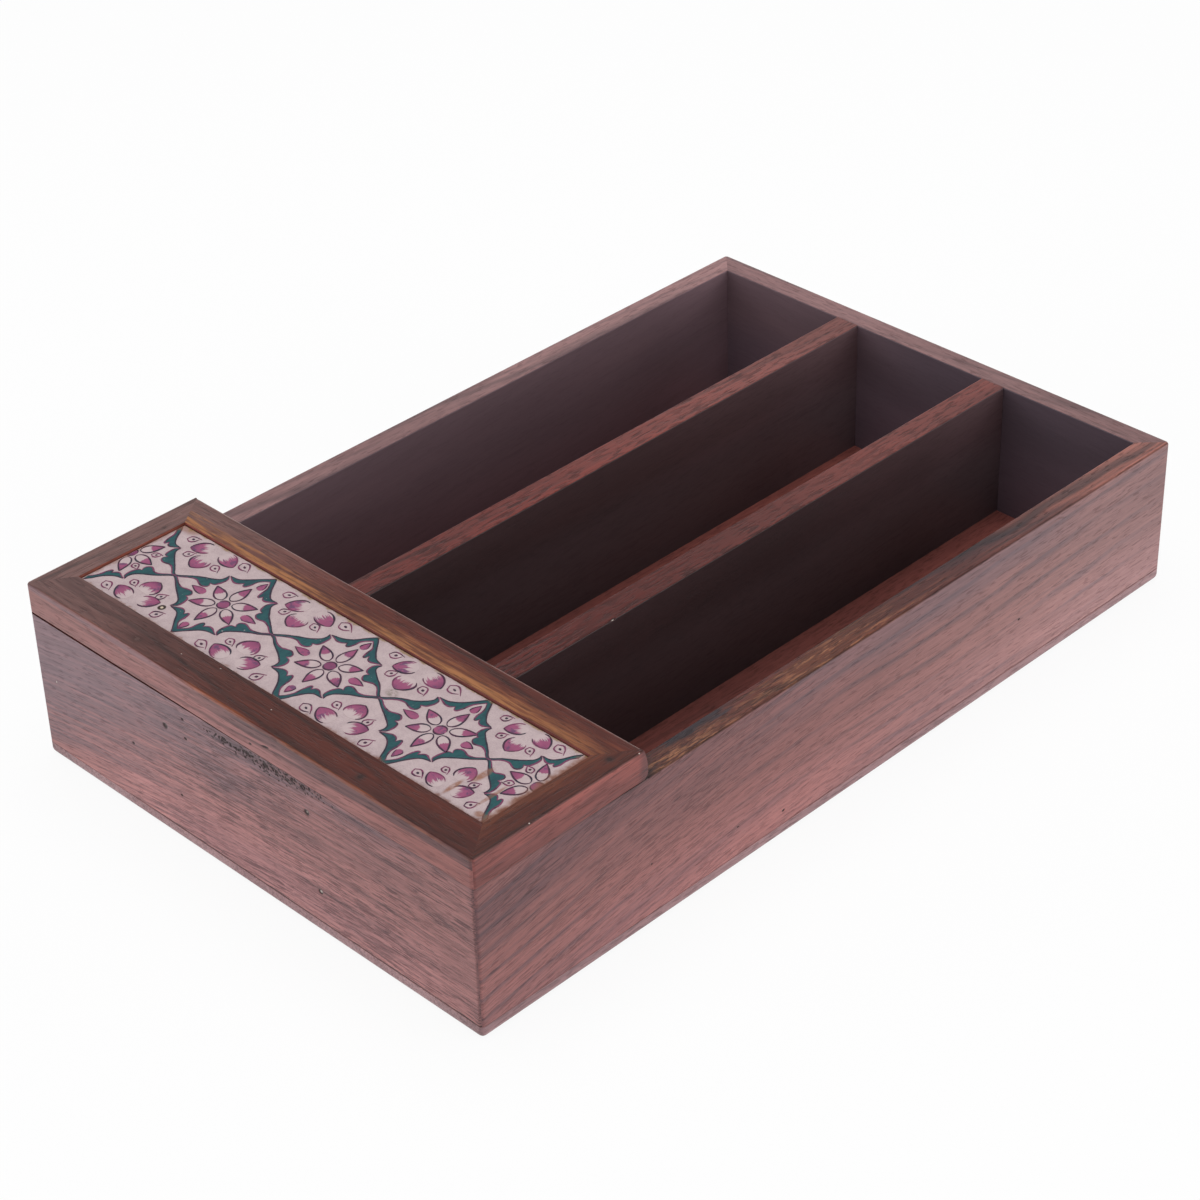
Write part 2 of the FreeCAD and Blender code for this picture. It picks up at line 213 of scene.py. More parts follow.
# Painted light from behind: the two far top colours are lighter copies for the divider tops towards the rear
TOP_FAR_LIT = tones(146, 87, 81, 117, 71, 67, 84, 57, 57)
TOP_RED_NEAR = tones(91, 34, 29, 70, 26, 23, 46, 24, 23)
TOP_RED_FAR_LIT = tones(142, 77, 70, 112, 61, 57, 78, 48, 48)
DIVIDER_SIDE = tones(63, 48, 50, 57, 43, 45, 50, 38, 40)
# Painted light from behind: the divider sides lighter towards the rear
DIVIDER_FAR_LIT = tones(84, 64, 67, 77, 59, 62, 68, 53, 56)
# Painted light: lighter, bluer copies of the inside colour, for the bay sides lower down and for the left and
# back walls' inner faces, as glare
DIVIDER_LOW_LIT = tones(93, 82, 86, 86, 75, 79, 77, 67, 71)
WALL_SIDE_LIT = tones(106, 86, 92, 95, 77, 83, 83, 67, 72)
WALL_LOW_LIT = tones(126, 107, 115, 117, 99, 107, 104, 87, 95)
BACK_SIDE_LIT = tones(81, 69, 77, 73, 61, 69, 64, 53, 60)
BACK_LOW_LIT = tones(106, 90, 100, 98, 83, 93, 87, 73, 81)
FLOOR = tones(157, 90, 82, 129, 74, 68, 94, 58, 56)
FRAME_TOP = tones(90, 40, 30, 63, 27, 22, 42, 24, 22)
FRAME_RED = tones(104, 43, 30, 74, 30, 23, 50, 26, 23)
FRAME_DARK = tones(88, 40, 30, 60, 29, 23, 40, 24, 22)
# Painted glare: a paler copy of the frame's colours for its left end
FRAME_PAINTED_GLARE = tones(117, 86, 82, 92, 67, 65, 68, 54, 53)
FILLER = tones(50, 27, 24, 42, 24, 21, 34, 21, 20)
# Painted glare: a paler copy of the fillers' colour towards the left end
FILLER_PAINTED_GLARE = tones(136, 104, 97, 118, 89, 84, 92, 72, 69)
GOLDEN = paint(158, 106, 64)
GOLDEN_PALE = paint(160, 108, 78)
GOLDEN_BROWN = paint(130, 76, 48)
RED_BROWN = paint(122, 66, 61)
COOL_GREY = paint(114, 99, 107)
BLUE_GREY = paint(52, 47, 53)
# Dark brown: stains round the pin fillers and in the torn grain, dark lines along two arrises, and painted
# shadow on the right rim behind the cover
STAIN_AND_SHADOW_BROWN = paint(52, 34, 32)
ORANGE_WORN = paint(138, 76, 44)
# Painted highlight on the back rail's rounded rear arris
PALE_EDGE_HIGHLIGHT = paint(150, 122, 116)
PALE_FLECK = paint(186, 176, 168)
PIT_DARK = paint(38, 24, 23)
FIBRE_LIGHT = (1.1, 1.1, 1.1, 1)
FIBRE_DARK = (0.5, 0.48, 0.5, 1)
PORE_SHADE = (0.40, 0.36, 0.38, 1)
DASH_SHADE = (0.40, 0.37, 0.40, 1)
PORE_DEPTH = 0.4
WOOD_GLOSS = 0.36
WOOD_SHINE = 0.26
WOOD_RELIEF = 0.045 * MM
STEEL = paint(150, 150, 150)
BACKING_BOARD = paint(150, 112, 78)
SPECKLE_SHADE = 0.6
SPECKLE_RELIEF = 0.02 * MM

# Inside the bays the grain is calm, and light is painted in: the sides paler from one height down to another
CALM = 0.2
DEEP = (Z, 46, 20)


class Wood(Look):
    """Dark hardwood along one board: broad bands, growth lines, short dashes, fibres and pores.

    Where a mask or shade is asked for, a bare tuple stands for a span, or for a slope if it has five values.
    """

    def __init__(self, name, run, tilt, shift, bow=0.0, crown=0.0):
        """The grain climbs by tilt degrees along its run, and bends with a bow up to its crown in mm."""
        super().__init__(name)
        self.point = self.place()
        self.facing = self.node("NewGeometry").outputs["Normal"]
        length, height, angle = Vector(run), Vector(Z), math.radians(tilt)
        along = length * math.cos(angle) + height * math.sin(angle)
        up = height * math.cos(angle) - length * math.sin(angle)
        moved = self.shifted(self.point, shift)
        level = self.dot(moved, up)
        if bow:
            before = self.math("MINIMUM", self.plus(self.dot(self.point, along), -crown * MM), 0.0)
            level = self.plus(level, self.times(before, before, bow))
        self.grain = self.vector(self.dot(moved, along), level, self.dot(moved, along.cross(up)))
        self.figure = self.ramp(self.streaks((5, 34, 34), 3, 0.6, 0.4), 0.34, 0.66)
        self.fibre = self.ramp(self.streaks((34, 800, 800), 2, 0.6), 0.32, 0.68)
        self.pore = self.ramp(self.streaks((190, 1400, 1400), 1, 0.5), 0.57, 0.66)
        self.line = 0.0
        self.dash = 0.0
        self.lively = 1.0

    def times(self, *values):
        return super().times(*(self.mask(value) for value in values))

    def mask(self, value):
        if not isinstance(value, tuple):
            return value
        return self.slope(*value) if len(value) == 5 else self.span(*value)

    def span(self, axis, start, end, ragged=0.0):
        """Rises from nothing to one between two places in mm along an axis."""
        value = self.dot(self.point, axis)
        if ragged:
            rough = self.plus(self.fibre, self.figure)
            value = self.plus(value, self.times(self.plus(rough, -1.0), ragged * MM))
        return self.ramp(value, start * MM, end * MM)

    def slope(self, axis, start, end, low, high):
        """A shade that runs from low to high between two places in mm along an axis."""
        return self.ramp(self.dot(self.point, axis), start * MM, end * MM, low, high)

    def painted_floor_bounce(self, start, low, rise, *fades):
        """Painted light bounced up from the floor: a shade that grows by a rise from a height in mm down to
        the base, less where a fade is low.
        """
        return self.plus(self.times((Z, start, 2), rise, *fades), low)

    def face(self, direction):
        """One on the faces that look along a direction, falling to nothing round the arris."""
        return self.ramp(self.dot(self.facing, direction), 0.45, 0.85)

    def streaks(self, scale, detail=2, roughness=0.5, distortion=0.0):
        return self.noise(self.stretched(self.grain, scale), detail, roughness, distortion)

    def growth(self, spacing, wander, amount, thin=0.66):
        """Soft dark lines about a spacing apart in mm, which come and go."""
        across = self.dot(self.grain, (0, 1 / (spacing * MM), 0.7 / (spacing * MM)))
        drift = self.streaks((4, 18, 18), 4, 0.55)
        phase = self.math("FRACT", self.plus(across, self.times(drift, wander)))
        dark = self.times(self.ramp(phase, thin, 0.86), self.ramp(phase, 1.0, 0.88))
        patches = self.ramp(self.streaks((6, 160 / spacing, 160 / spacing), 2, 0.6), 0.38, 0.58)
        self.line = self.most(self.line, self.times(dark, patches, amount))

    def dashes(self, amount, along, across):
        """Short dark strokes along the grain, so many to the metre along it and across it."""
        strokes = self.ramp(self.streaks((along, across, across), 2, 0.6), 0.50, 0.60)
        gathered = self.ramp(self.streaks((18, 90, 90), 2, 0.5), 0.36, 0.60, 0.5, 1.0)
        self.dash = self.most(self.dash, self.times(strokes, gathered, amount))

    def enliven(self, mask, amount):
        """Makes the grain stronger, or weaker with an amount below one, where a mask is one."""
        change = self.plus(self.times(mask, amount - 1.0), 1.0)
        self.lively = self.times(change, self.lively)

    def dress(self, finish, *others):
        """Colours the faces: one finish first, then each other in turn over its own mask."""
        for mask, other in others:
            mask = self.mask(mask)
            finish = [self.mix(mask, under, over) for under, over in zip(finish, other)]
        light, dark, streak = finish
        self.colour = self.mix(self.times(self.line, self.lively), self.mix(self.figure, light, dark), streak)

    def smudge(self, spot, reach, strength):
        """A soft dark stain round a spot, with its place and reach in mm."""
        far = self.distance(self.point, Vector(spot) * MM)
        self.tint(STAIN_AND_SHADOW_BROWN, self.ramp(far, reach * MM, reach * 0.2 * MM), strength)

    def lighten_or_darken(self, mask, *shades):
        """Makes the colour lighter or darker by all the shades where a mask is one, mostly as painted light
        and shade.
        """
        washed = self.mix(1.0, self.colour, self.times(*shades), "MULTIPLY")
        self.colour = self.mix(mask, self.colour, washed)

    def polish(self, fibre_depth=0.32):
        """Adds the fibres, pores and dashes, darkens hollows, lightens flecks and ends the surface."""
        fibre, pore, dash = (self.times(part, self.lively) for part in (self.fibre, self.pore, self.dash))
        shade = self.mix(self.times(fibre, fibre_depth), FIBRE_LIGHT, FIBRE_DARK)
        shade = self.mix(self.times(pore, PORE_DEPTH), shade, PORE_SHADE)
        shade = self.mix(dash, shade, DASH_SHADE)
        self.colour = self.mix(1.0, self.colour, shade, "MULTIPLY")
        self.tint(PIT_DARK, self.ramp(self.attribute("wear"), 0.05, 0.45), 0.9)
        self.tint(PALE_FLECK, self.ramp(self.attribute("fleck"), 0.50, 0.80))
        relief = self.plus(self.times(fibre, -0.5), self.times(pore, -1.0))
        relief = self.plus(relief, self.times(dash, -1.0))
        roughness = self.ramp(self.plus(self.figure, self.pore), 0.0, 2.0, WOOD_GLOSS, WOOD_GLOSS + 0.18)
        return self.finish(roughness, relief, WOOD_RELIEF, WOOD_SHINE)


# How each board looks, with places in mm

def front_wall_look():
    look = Wood("front_wall_wood", X, 0, (0.31, 0.12, 0.08), 0.45, 90)
    look.growth(9, 3.0, 0.4)
    look.growth(2.6, 2.0, 0.35, 0.5)
    crisp = look.span(X, -100, 0, 30)
    look.dashes(look.plus(look.times(crisp, 0.9), 0.3), 140, 2100)
    look.dashes(look.times(crisp, 0.55), 75, 1100)
    outside, inside = look.face(MINUS_Y), look.face(Y)
    look.enliven(inside, CALM)
    look.dress(FRONT, (look.face(Z), RIM), (inside, DIVIDER_SIDE))
    # Painted light and shade: the outer face paler towards the foot from the floor's bounce, fading at both
    # ends, and darker towards the right end
    painted_floor_bounce = look.painted_floor_bounce(36, 0.93, 0.50, (X, -95, -45, 0.05, 1.0), (X, 75, 100, 1.0, 0.4))
    look.lighten_or_darken(outside, painted_floor_bounce, (X, -20, 95, 1.04, 0.9))
    look.tint(COOL_GREY, ((-0.29, 0, 0.96), 22, 64, 16), outside, 0.75)
    look.tint(STAIN_AND_SHADOW_BROWN, pitted_place(look), outside, 0.35)
    look.tint(BLUE_GREY, (X, 102.3, 103.2), 0.45)
    look.tint(PIT_DARK, (Z, 5.6, 5.25), (X, -80, -45, 15), outside, 0.85)
    return look.polish(0.42)


def pitted_place(look):
    """The dark streak that the pits lie in: a long thin spot, ragged along the grain."""
    across, deep = 30, 2.6
    flat = look.stretched(look.point, (1 / across, 0, 1 / deep))
    far = look.distance(flat, Vector((14 / across, 0, 54.6 / deep)) * MM)
    far = look.plus(far, look.times(look.plus(look.fibre, -0.5), 0.7 * MM))
    return look.ramp(far, 1.0 * MM, 0.3 * MM)


def right_wall_look():
    look = Wood("right_wall_wood", Y, 0, (0.07, 0.53, 0.19), 0.55, 20)
    look.growth(9, 3.0, 0.65, 0.60)
    look.growth(3.4, 2.2, 0.3, 0.6)
    look.dashes(look.plus(look.times((Y, 70, -100), 0.35), 0.2), 170, 1700)
    rim, outside, inside = look.face(Z), look.face(X), look.face(MINUS_X)
    look.enliven(inside, CALM)
    look.enliven(rim, 1.6)
    # The outer face and the rim take colours painted lighter towards the rear, as light from behind
    look.dress(OUTER, ((Y, -60, 165), OUTER_FAR_LIT), (rim, RIM), (look.times(rim, (Y, 50, 145)), RIM_FAR_LIT),
               (inside, DIVIDER_SIDE))
    # Painted light: the outer face paler towards the foot from the floor's bounce, less at the front end, a
    # little darker from the middle on, and paler again towards the rear
    painted_floor_bounce = look.painted_floor_bounce(36, 0.84, 0.55, (Y, -155, -95, 0.5, 1.0))
    look.lighten_or_darken(outside, painted_floor_bounce, (Y, -40, 20, 1.0, 0.93), (Y, 90, 130, 1.0, 1.08))
    look.tint(COOL_GREY, outside, (Z, 38, 50, 6), (Y, -70, 0, 20), (Y, 130, 90, 20), 0.25)
    rubbed = look.times(rim, (Y, -89, -85, 4), (Y, 55, -5, 30), (Y, -65, -10, 0.3, 1.0), (X, 95.5, 99.5, 4))
    look.tint(GOLDEN_BROWN, rubbed, 0.4)
    flecks = look.ramp(look.streaks((105, 800, 800), 3, 0.65), 0.50, 0.60)
    look.tint(GOLDEN_PALE, rubbed, flecks, 0.6)
    streaks = look.ramp(look.streaks((45, 900, 900), 3, 0.65), 0.46, 0.58)
    look.tint(GOLDEN_PALE, rim, (Y, -91, -88, 3), (Y, -52, -66, 8), (X, 98.6, 100.2, 2), streaks, 0.75)
    look.tint(BLUE_GREY, rim, (Y, -80, -76, 5), (Y, -50, -58, 8), (X, 98.8, 97.6, 1.5), 0.9)
    # Painted shadow, with some real finish residue: the dark strip on the rim just behind the cover
    look.tint(STAIN_AND_SHADOW_BROWN, rim, (Y, -84, -91, 3), 0.8)
    slant = (-7, 1, 0)
    look.tint(BLUE_GREY, rim, (slant, -640, -625, 8), (slant, -590, -610, 8), 0.45)
    look.tint(STAIN_AND_SHADOW_BROWN, (Z, 55.9, 56.3), (X, 102.9, 103.3), 0.5)
    look.tint(BLUE_GREY, (MINUS_Y, 163.8, 164.6), outside, 0.3)
    look.tint(PIT_DARK, (Z, 5.5, 5.25), (Y, -70, -20, 20), outside, 0.4)
    return look.polish()


def plain_wall_look(name, run, tilt, shift):
    look = Wood(name, run, tilt, shift)
    look.growth(9, 3.0, 0.7)
    look.growth(3.4, 2.2, 0.45, 0.6)
    look.dashes(0.3, 120, 1000)
    return look


def left_wall_look():
    look = plain_wall_look("left_wall_wood", Y, 4, (0.5, 0.2, 0.9))
    rim, inside = look.face(Z), look.face(X)
    look.enliven(inside, CALM)
    look.dress(OUTER, (rim, RIM_PALE), (inside, WALL_SIDE_LIT), (look.times(inside, DEEP), WALL_LOW_LIT))
    # Painted light and shade: the rim paler towards the rear, and the inner face darker towards its top and
    # paler towards the rear
    look.lighten_or_darken(rim, (Y, 80, 145, 1.0, 1.15))
    look.lighten_or_darken(inside, (Z, 34, 50, 1.0, 0.9), (Y, 110, 150, 1.0, 1.3))
    return look.polish()


def back_wall_look():
    look = plain_wall_look("back_wall_wood", X, -4, (0.2, 0.6, 0.4))
    rim, inside = look.face(Z), look.face(MINUS_Y)
    look.enliven(inside, CALM)
    look.dress(OUTER, (rim, RIM_PALE), (inside, BACK_SIDE_LIT), (look.times(inside, (X, 15, -70)), WALL_SIDE_LIT),
               (look.times(inside, DEEP), BACK_LOW_LIT))
    # Painted light and shade: the rim paler towards its left end and darker towards its right end
    look.lighten_or_darken(rim, (X, -90, 50, 1.2, 0.82))
    return look.polish()


def divider_look(name, shift, near, far, painted_side_shade):
    look = Wood(name, Y, 2, shift)
    look.growth(5, 3.0, 0.5)
    look.dashes(0.8, 130, 760)
    sides = look.plus(look.face(X), look.face(MINUS_X))
    look.enliven(sides, CALM)
    look.enliven(look.times(look.face(Z), (Y, 120, -100)), 1.5)
    # The top runs from its near colour to a far colour painted lighter by light from behind; the sides take
    # colours painted lighter towards the rear and lower down
    look.dress(near, ((Y, -50, 195, 30), far), (sides, DIVIDER_SIDE),
               (look.times(sides, (Y, 20, 130)), DIVIDER_FAR_LIT), (look.times(sides, DEEP), DIVIDER_LOW_LIT))
    # Painted light and shade: the sides darker by a set amount, more so towards their top, and paler towards
    # the rear
    look.lighten_or_darken(sides, (Z, 28, 50, painted_side_shade, painted_side_shade * 0.84), (Y, 100, 146, 1.0, 1.5))
    return look.polish()


def base_look():
    look = Wood("base_wood", Y, 0, (0.61, 0.27, 0.33))
    look.growth(7, 3.0, 0.5)
    look.dashes(0.45, 160, 1000)
    look.dress(BASE_EDGE, (look.face(Z), FLOOR), (look.face(MINUS_Z), RIM))
    # Painted shade: the front edge darker towards both ends
    look.lighten_or_darken(look.face(MINUS_Y), (X, -95, -50, 0.85, 1.0), (X, 70, 100, 1.0, 0.75))
    return look.polish()


def frame_look(name, run, shift, side, top=FRAME_TOP):
    """Frame around the tile: dark brown on top, painted paler by glare at its left end, with another finish
    on its sides.
    """
    look = Wood(name, run, 3, shift)
    look.growth(6, 3.0, 0.6)
    look.dashes(0.5, 60, 900)
    outside = look.plus(look.face(MINUS_Y), look.plus(look.face(X), look.face(MINUS_X)))
    look.dress(top, ((X, 5, -115, 10), FRAME_PAINTED_GLARE), (outside, side))
    return look


def front_rail_look():
    look = frame_look("front_rail_wood", X, (0.17, 0.83, 0.41), RAIL_FACE)
    outside = look.face(MINUS_Y)
    look.lighten_or_darken(outside, (X, -55, -95, 1.0, 0.8))
    look.tint(RED_BROWN, outside, (X, 20, 90), 0.6)
    look.tint(BLUE_GREY, (Z, 61.8, 63.8, 2.5), (X, -40, 8, 20), outside, 0.56)
    # Painted reflection: a cool grey band just under the front arris towards the left
    look.tint(COOL_GREY, outside, (Z, 64.6, 65.8, 0.8), (X, -15, -45, 20), 0.5)
    arris = look.times((Y, -164.0, -164.8, 0.6), (Z, 66.2, 66.8))
    worn = look.ramp(look.streaks((30, 90, 90)), 0.36, 0.56)
    look.tint(ORANGE_WORN, arris, worn, (X, -60, -25, 0.15, 0.55))
    look.tint(ORANGE_WORN, arris, (X, 48, 60, 8), (X, 96, 88), 0.35)
    for x, strength in ((-52, 0.35), (52, 0.75)):
        look.smudge((x, -160.5, 67.5), 2.6, strength)
    return look.polish(0.45)


def back_rail_look():
    look = frame_look("back_rail_wood", X, (0.43, 0.05, 0.77), COVER_SIDE, FRAME_RED)
    top = look.face(Z)
    look.tint(GOLDEN_BROWN, top, ((-0.025, 1, 0), -100.5, -105.5, 3.0), (X, 75, 98, 0.75, 0.35))
    thin = look.ramp(look.fibre, 0.9, 0.3)
    look.tint(GOLDEN, top, (Y, -102.8, -106.4, 3.0), thin, (X, 50, 97, 0.72, 0.2))
    # Painted highlight along the rounded rear top arris
    look.tint(PALE_EDGE_HIGHLIGHT, (Y, -96.4, -95.8), (Z, 66.4, 66.9), 0.6)
    return look.polish(0.45)


def left_stile_look():
    look = frame_look("left_stile_wood", Y, (0.91, 0.37, 0.11), COVER_SIDE)
    look.tint(GOLDEN_BROWN, look.face(X), 0.4)
    look.smudge((-96.4, -114.3, 67.5), 1.5, 0.45)
    return look.polish(0.45)


def right_stile_look():
    look = frame_look("right_stile_wood", Y, (0.23, 0.71, 0.57), COVER_SIDE, FRAME_DARK)
    look.tint(GOLDEN_BROWN, look.face(Z), (X, 99, 94.5, 2.0), 0.25)
    look.smudge((99.25, -105.5, 67.5), 2.6, 0.75)
    look.tint(BLUE_GREY, (Y, -98.5, -95.5, 1.0), (X, 101, 102.5), 0.5)
    look.tint(STAIN_AND_SHADOW_BROWN, (X, 102.8, 103.2, 0.3), (Z, 66.7, 67.1), 0.7)
    return look.polish(0.4)


def filler_look():
    """Filled spots over the pins: dark, and painted paler by glare towards the left end."""
    look = Wood("pin_filler", X, 0, (0.52, 0.34, 0.73))
    look.dress(FILLER, ((X, -30, -95), FILLER_PAINTED_GLARE))
    return look.polish()


def hidden_look(name, colour, rough):
    """Pins and the backing board: nothing of them shows while the stand lies on its base."""
    look = Look(name)
    speckle = look.noise(look.stretched(look.place(), (900, 900, 900)), 3, 0.6)
    darker = (*(SPECKLE_SHADE * part for part in colour[:3]), 1)
    look.colour = look.mix(look.ramp(speckle, 0.3, 0.7), colour, darker)
    return look.finish(look.ramp(speckle, 0.2, 0.8, rough, rough + 0.2), speckle, SPECKLE_RELIEF)


# Worn places, as real hollows in the boards

Mark = namedtuple("Mark", "centre along reach depth inward dark pale")
TOUCH = 1e-7
INSIDE = 1e-6
SHARP = math.radians(40)
DENT_MARGIN = 1.0
DENT_STEP = 0.25
PRESS_REACH = 1.5
PIT_COUNT = 200
PIT_STEP = 0.3


def refine(shape, low, high, step):
    """Cuts the faces that reach into a box into cells of about one step."""
    for axis in range(3):
        count = max(2, round((high[axis] - low[axis]) / step))
        levels = [low[axis] + (high[axis] - low[axis]) * index / count for index in range(count + 1)]
        for level in (levels[0], levels[-1], *levels[1:-1]):
            inside = [face for face in shape.faces if reaches(face, low, high)]
            geometry = dict.fromkeys(item for face in inside for item in (face, *face.edges, *face.verts))
            cut(shape, list(geometry), axis, level)


def cut(shape, geometry, axis, level):
    """Cuts faces by a plane at a level in metres along an axis."""
    normal = Vector((X, Y, Z)[axis])
    bmesh.ops.bisect_plane(shape, geom=geometry, plane_co=normal * level, plane_no=normal, dist=TOUCH)


def reaches(face, low, high):
    for axis in range(3):
        values = [corner.co[axis] for corner in face.verts]
        if min(values) > high[axis] - INSIDE or max(values) < low[axis] + INSIDE:
            return False
    return True


def press(shape, wear, fleck, mark):
    """Pushes the surface in under one mark, and notes how dark or pale each point gets."""
    along = Vector(mark.along).normalized()
    inward = Vector(mark.inward).normalized()
    across = along.cross(inward)
    centre = Vector(mark.centre) * MM
    for corner in shape.verts:
        offset = corner.co - centre
        far = math.hypot(offset.dot(along) / mark.reach[0], offset.dot(across) / mark.reach[1]) / MM
        if far < 1 and abs(offset.dot(inward)) < PRESS_REACH * MM:
            share = (1 - far * far) ** 2
            corner.co += inward * (mark.depth * MM * share)
            corner[wear] = max(corner[wear], share * mark.dark)
            corner[fleck] = max(corner[fleck], share * mark.pale)


def soft_shading(shape):
    for face in shape.faces:
        face.smooth = True
    for edge in shape.edges:
        edge.smooth = edge.calc_face_angle(0.0) < SHARP


def to_mesh(name, shape):
    mesh = bpy.data.meshes.new(name)
    shape.to_mesh(mesh)
    shape.free()
    return mesh


def add_object(name, data):
    made = bpy.data.objects.new(name, data)
    bpy.context.scene.collection.objects.link(made)
    return made


def add_piece(name, shape, material):
    piece = add_object(name, to_mesh(name, shape))
    piece.data.materials.append(material)
    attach(piece, "root")
    return piece


def worn_copy(node, material, groups, reshape=None):
    """A board with hollows pressed into it. A group is a refined box, its cell size and its marks."""
    shape = bmesh.new()
    shape.from_mesh(NODES[node].data)
    bmesh.ops.remove_doubles(shape, verts=shape.verts, dist=TOUCH)
    wear = shape.verts.layers.float.new("wear")
    fleck = shape.verts.layers.float.new("fleck")
    if reshape:
        reshape(shape)
    for low, high, step, marks in groups:
        refine(shape, Vector(low) * MM, Vector(high) * MM, step * MM)
        for mark in marks:
            press(shape, wear, fleck, mark)
    soft_shading(shape)
    piece = add_piece(node + "_worn", shape, material)
    weighted = piece.modifiers.new("flat_faces", "WEIGHTED_NORMAL")
    weighted.keep_sharp = True
    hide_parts(node)


def dent_groups(marks):
    """One refined box round each mark by itself."""
    groups = []
    for mark in marks:
        reach = Vector((1, 1, 1)) * (max(mark.reach) + DENT_MARGIN)
        centre = Vector(mark.centre)
        groups.append((centre - reach, centre + reach, DENT_STEP, [mark]))
    return groups


def front_dents():
    filled = ((-36.5, 44.3, 1.7, 0.60), (30.8, 45.8, 1.7, 0.68), (33.9, 17.1, 1.5, 0.82))
    open_holes = ((-27.0, 51.4, 1.0), (-26.5, 44.2, 1.1), (-55.2, 28.2, 1.0), (-32.2, 19.3, 1.0))
    front = FRONT_Y / MM
    marks = [Mark((x, front, z), X, (size, size * 0.85), 0.4, Y, 1.0, pale) for x, z, size, pale in filled]
    marks += [Mark((x, front, z), X, (size, size * 0.7), 0.4, Y, 0.9, 0.0) for x, z, size in open_holes]
    return [*marks, Mark((-94.5, front, 32.9), Z, (0.9, 0.6), 0.12, Y, 0.0, 1.0)]


def pitted_streak(pick):
    """Torn grain below the seam: many short pits, thickest in the middle of the streak."""
    low, high = Vector((-18, -166, 50.8)), Vector((45, -164.4, 56.2))
    middle, spread = 14, 30
    marks = []
    for _ in range(PIT_COUNT):
        x = pick.triangular(low.x, high.x, middle)
        closeness = 1 - min(1, abs(x - middle) / spread)
        z = pick.gauss(54.0 + 0.03 * (x - middle), 0.5 + 0.8 * closeness)
        length = pick.uniform(0.45, 1.0)
        lean = (0.6, 0, pick.uniform(-0.8, 0.8))
        if low.z + 0.4 < z < high.z - 0.2:
            depth = pick.uniform(0.12, 0.3)
            marks.append(Mark((x, FRONT_Y / MM, z), lean, (length, 0.40), depth, Y, 1.0, 0.0))
    return low, high, PIT_STEP, marks


def cut_across(shape, axis, levels):
    """Cuts the whole shape at places in mm along an axis."""
    for level in levels:
        cut(shape, everything(shape), axis, level * MM)


def everything(shape):
    return [*shape.verts, *shape.edges, *shape.faces]


def share_between(value, start, end):
    """How far a value has come from start to end, from nothing to one."""
    return min(1, max(0, (value - start) / (end - start)))


def open_seam(shape):
    """Lowers the front wall's top at its left end, where the seam under the strip has opened."""
    start, end, gap = -12, -60, 0.55
    cut_across(shape, 0, range(-100, start, 8))
    for corner in shape.verts:
        if corner.co.z > RIM_Z - 1.0 * MM:
            corner.co.z -= gap * MM * math.sqrt(share_between(corner.co.x / MM, start, end))


def seam_closer(axis, start, end):
    """Brings a cover piece's eased lower edge down to the wall from one place in mm to another."""
    ease = 0.3 * MM

    def close(shape):
        cut_across(shape, axis, [start + (end - start) * index / 4 for index in range(5)])
        for corner in shape.verts:
            if corner.co.z < RIM_Z + ease:
                corner.co.z -= (corner.co.z - RIM_Z) * share_between(corner.co[axis] / MM, start, end)
    return close


def right_wall_dents():
    side = RIGHT_X / MM
    places = ((-33.9, 10.1, 1.0), (84.0, 23.4, 0.9), (-55.0, 15.7, 0.6), (-93.3, 23.7, 0.6))
    return [Mark((side, y, z), Y, (size, size * 0.7), 0.3, MINUS_X, 0.9, 0.0) for y, z, size in places]


def divider_chip():
    corner = (DIVIDER_RIGHT_X / MM - 0.3, -41.9, RIM_Z / MM - 0.3)
    return [Mark(corner, Y, (1.4, 0.5), 0.35, (-1, 0, -1), 0.0, 0.8)]


def rail_marks():
    """Pale flecks on the front rail's top, and two small knots on its face."""
    top, front = COVER_TOP_Z / MM, FRONT_Y / MM
    flecks = ((-35.6, -156.2), (7.4, -156.4), (-20.5, -153.0))
    marks = [Mark((x, y, top), X, (0.8, 0.55), 0.12, MINUS_Z, 0.0, 0.85) for x, y in flecks]
    knots = (((13.9, front, 61.5), (2.6, 0.6)), ((6.6, front, 59.0), (1.1, 0.6)))
    return marks + [Mark(spot, (0.97, 0, 0.22), reach, 0.2, Y, 0.8, 0.0) for spot, reach in knots]


def stile_nicks():
    top, side = COVER_TOP_Z / MM - 0.25, RIGHT_X / MM - 0.25
    return [Mark((side, y, top), Y, (0.9, 0.6), 0.25, (-1, 0, -1), 0.0, 0.8) for y in (-142.1, -97.2)]


# Painted tile, laid out in mm from its left end and from its middle line

PAINT_HEIGHT = 0.05
LINE_HEIGHT = 0.08
LAYER_STEP = 0.003
LAYERS = 9
SUNK = 0.02
TILE_INSET = 0.45 * MM
TRIM_TOUCH = 1e-8
HALF_DEPTH = 20.9
TILE_LENGTH = 187.3
CELL_CENTRES = ((0.0, -0.6), (45.7, 0.0), (96.2, 0.6), (145.3, 1.0), (186.2, 1.2))
REAR_APEXES = (-0.5, 47.4, 96.4, 145.6, 185.6)
FRONT_APEXES = (0.8, 45.4, 96.2, 144.2, 186.6)
REAR_PUSHES = (0.3, 0.0, 0.0, 1.2, 0.3)
FRONT_PUSHES = (0.3, 0.2, 2.2, 2.4, 0.3)
CROSSINGS = ((21.2, 0.4), (70.0, -0.5), (119.7, -0.1), (166.4, 1.0))
FULL_CELL = 48
WOBBLE = 0.75
WOBBLE_PACE = 0.13

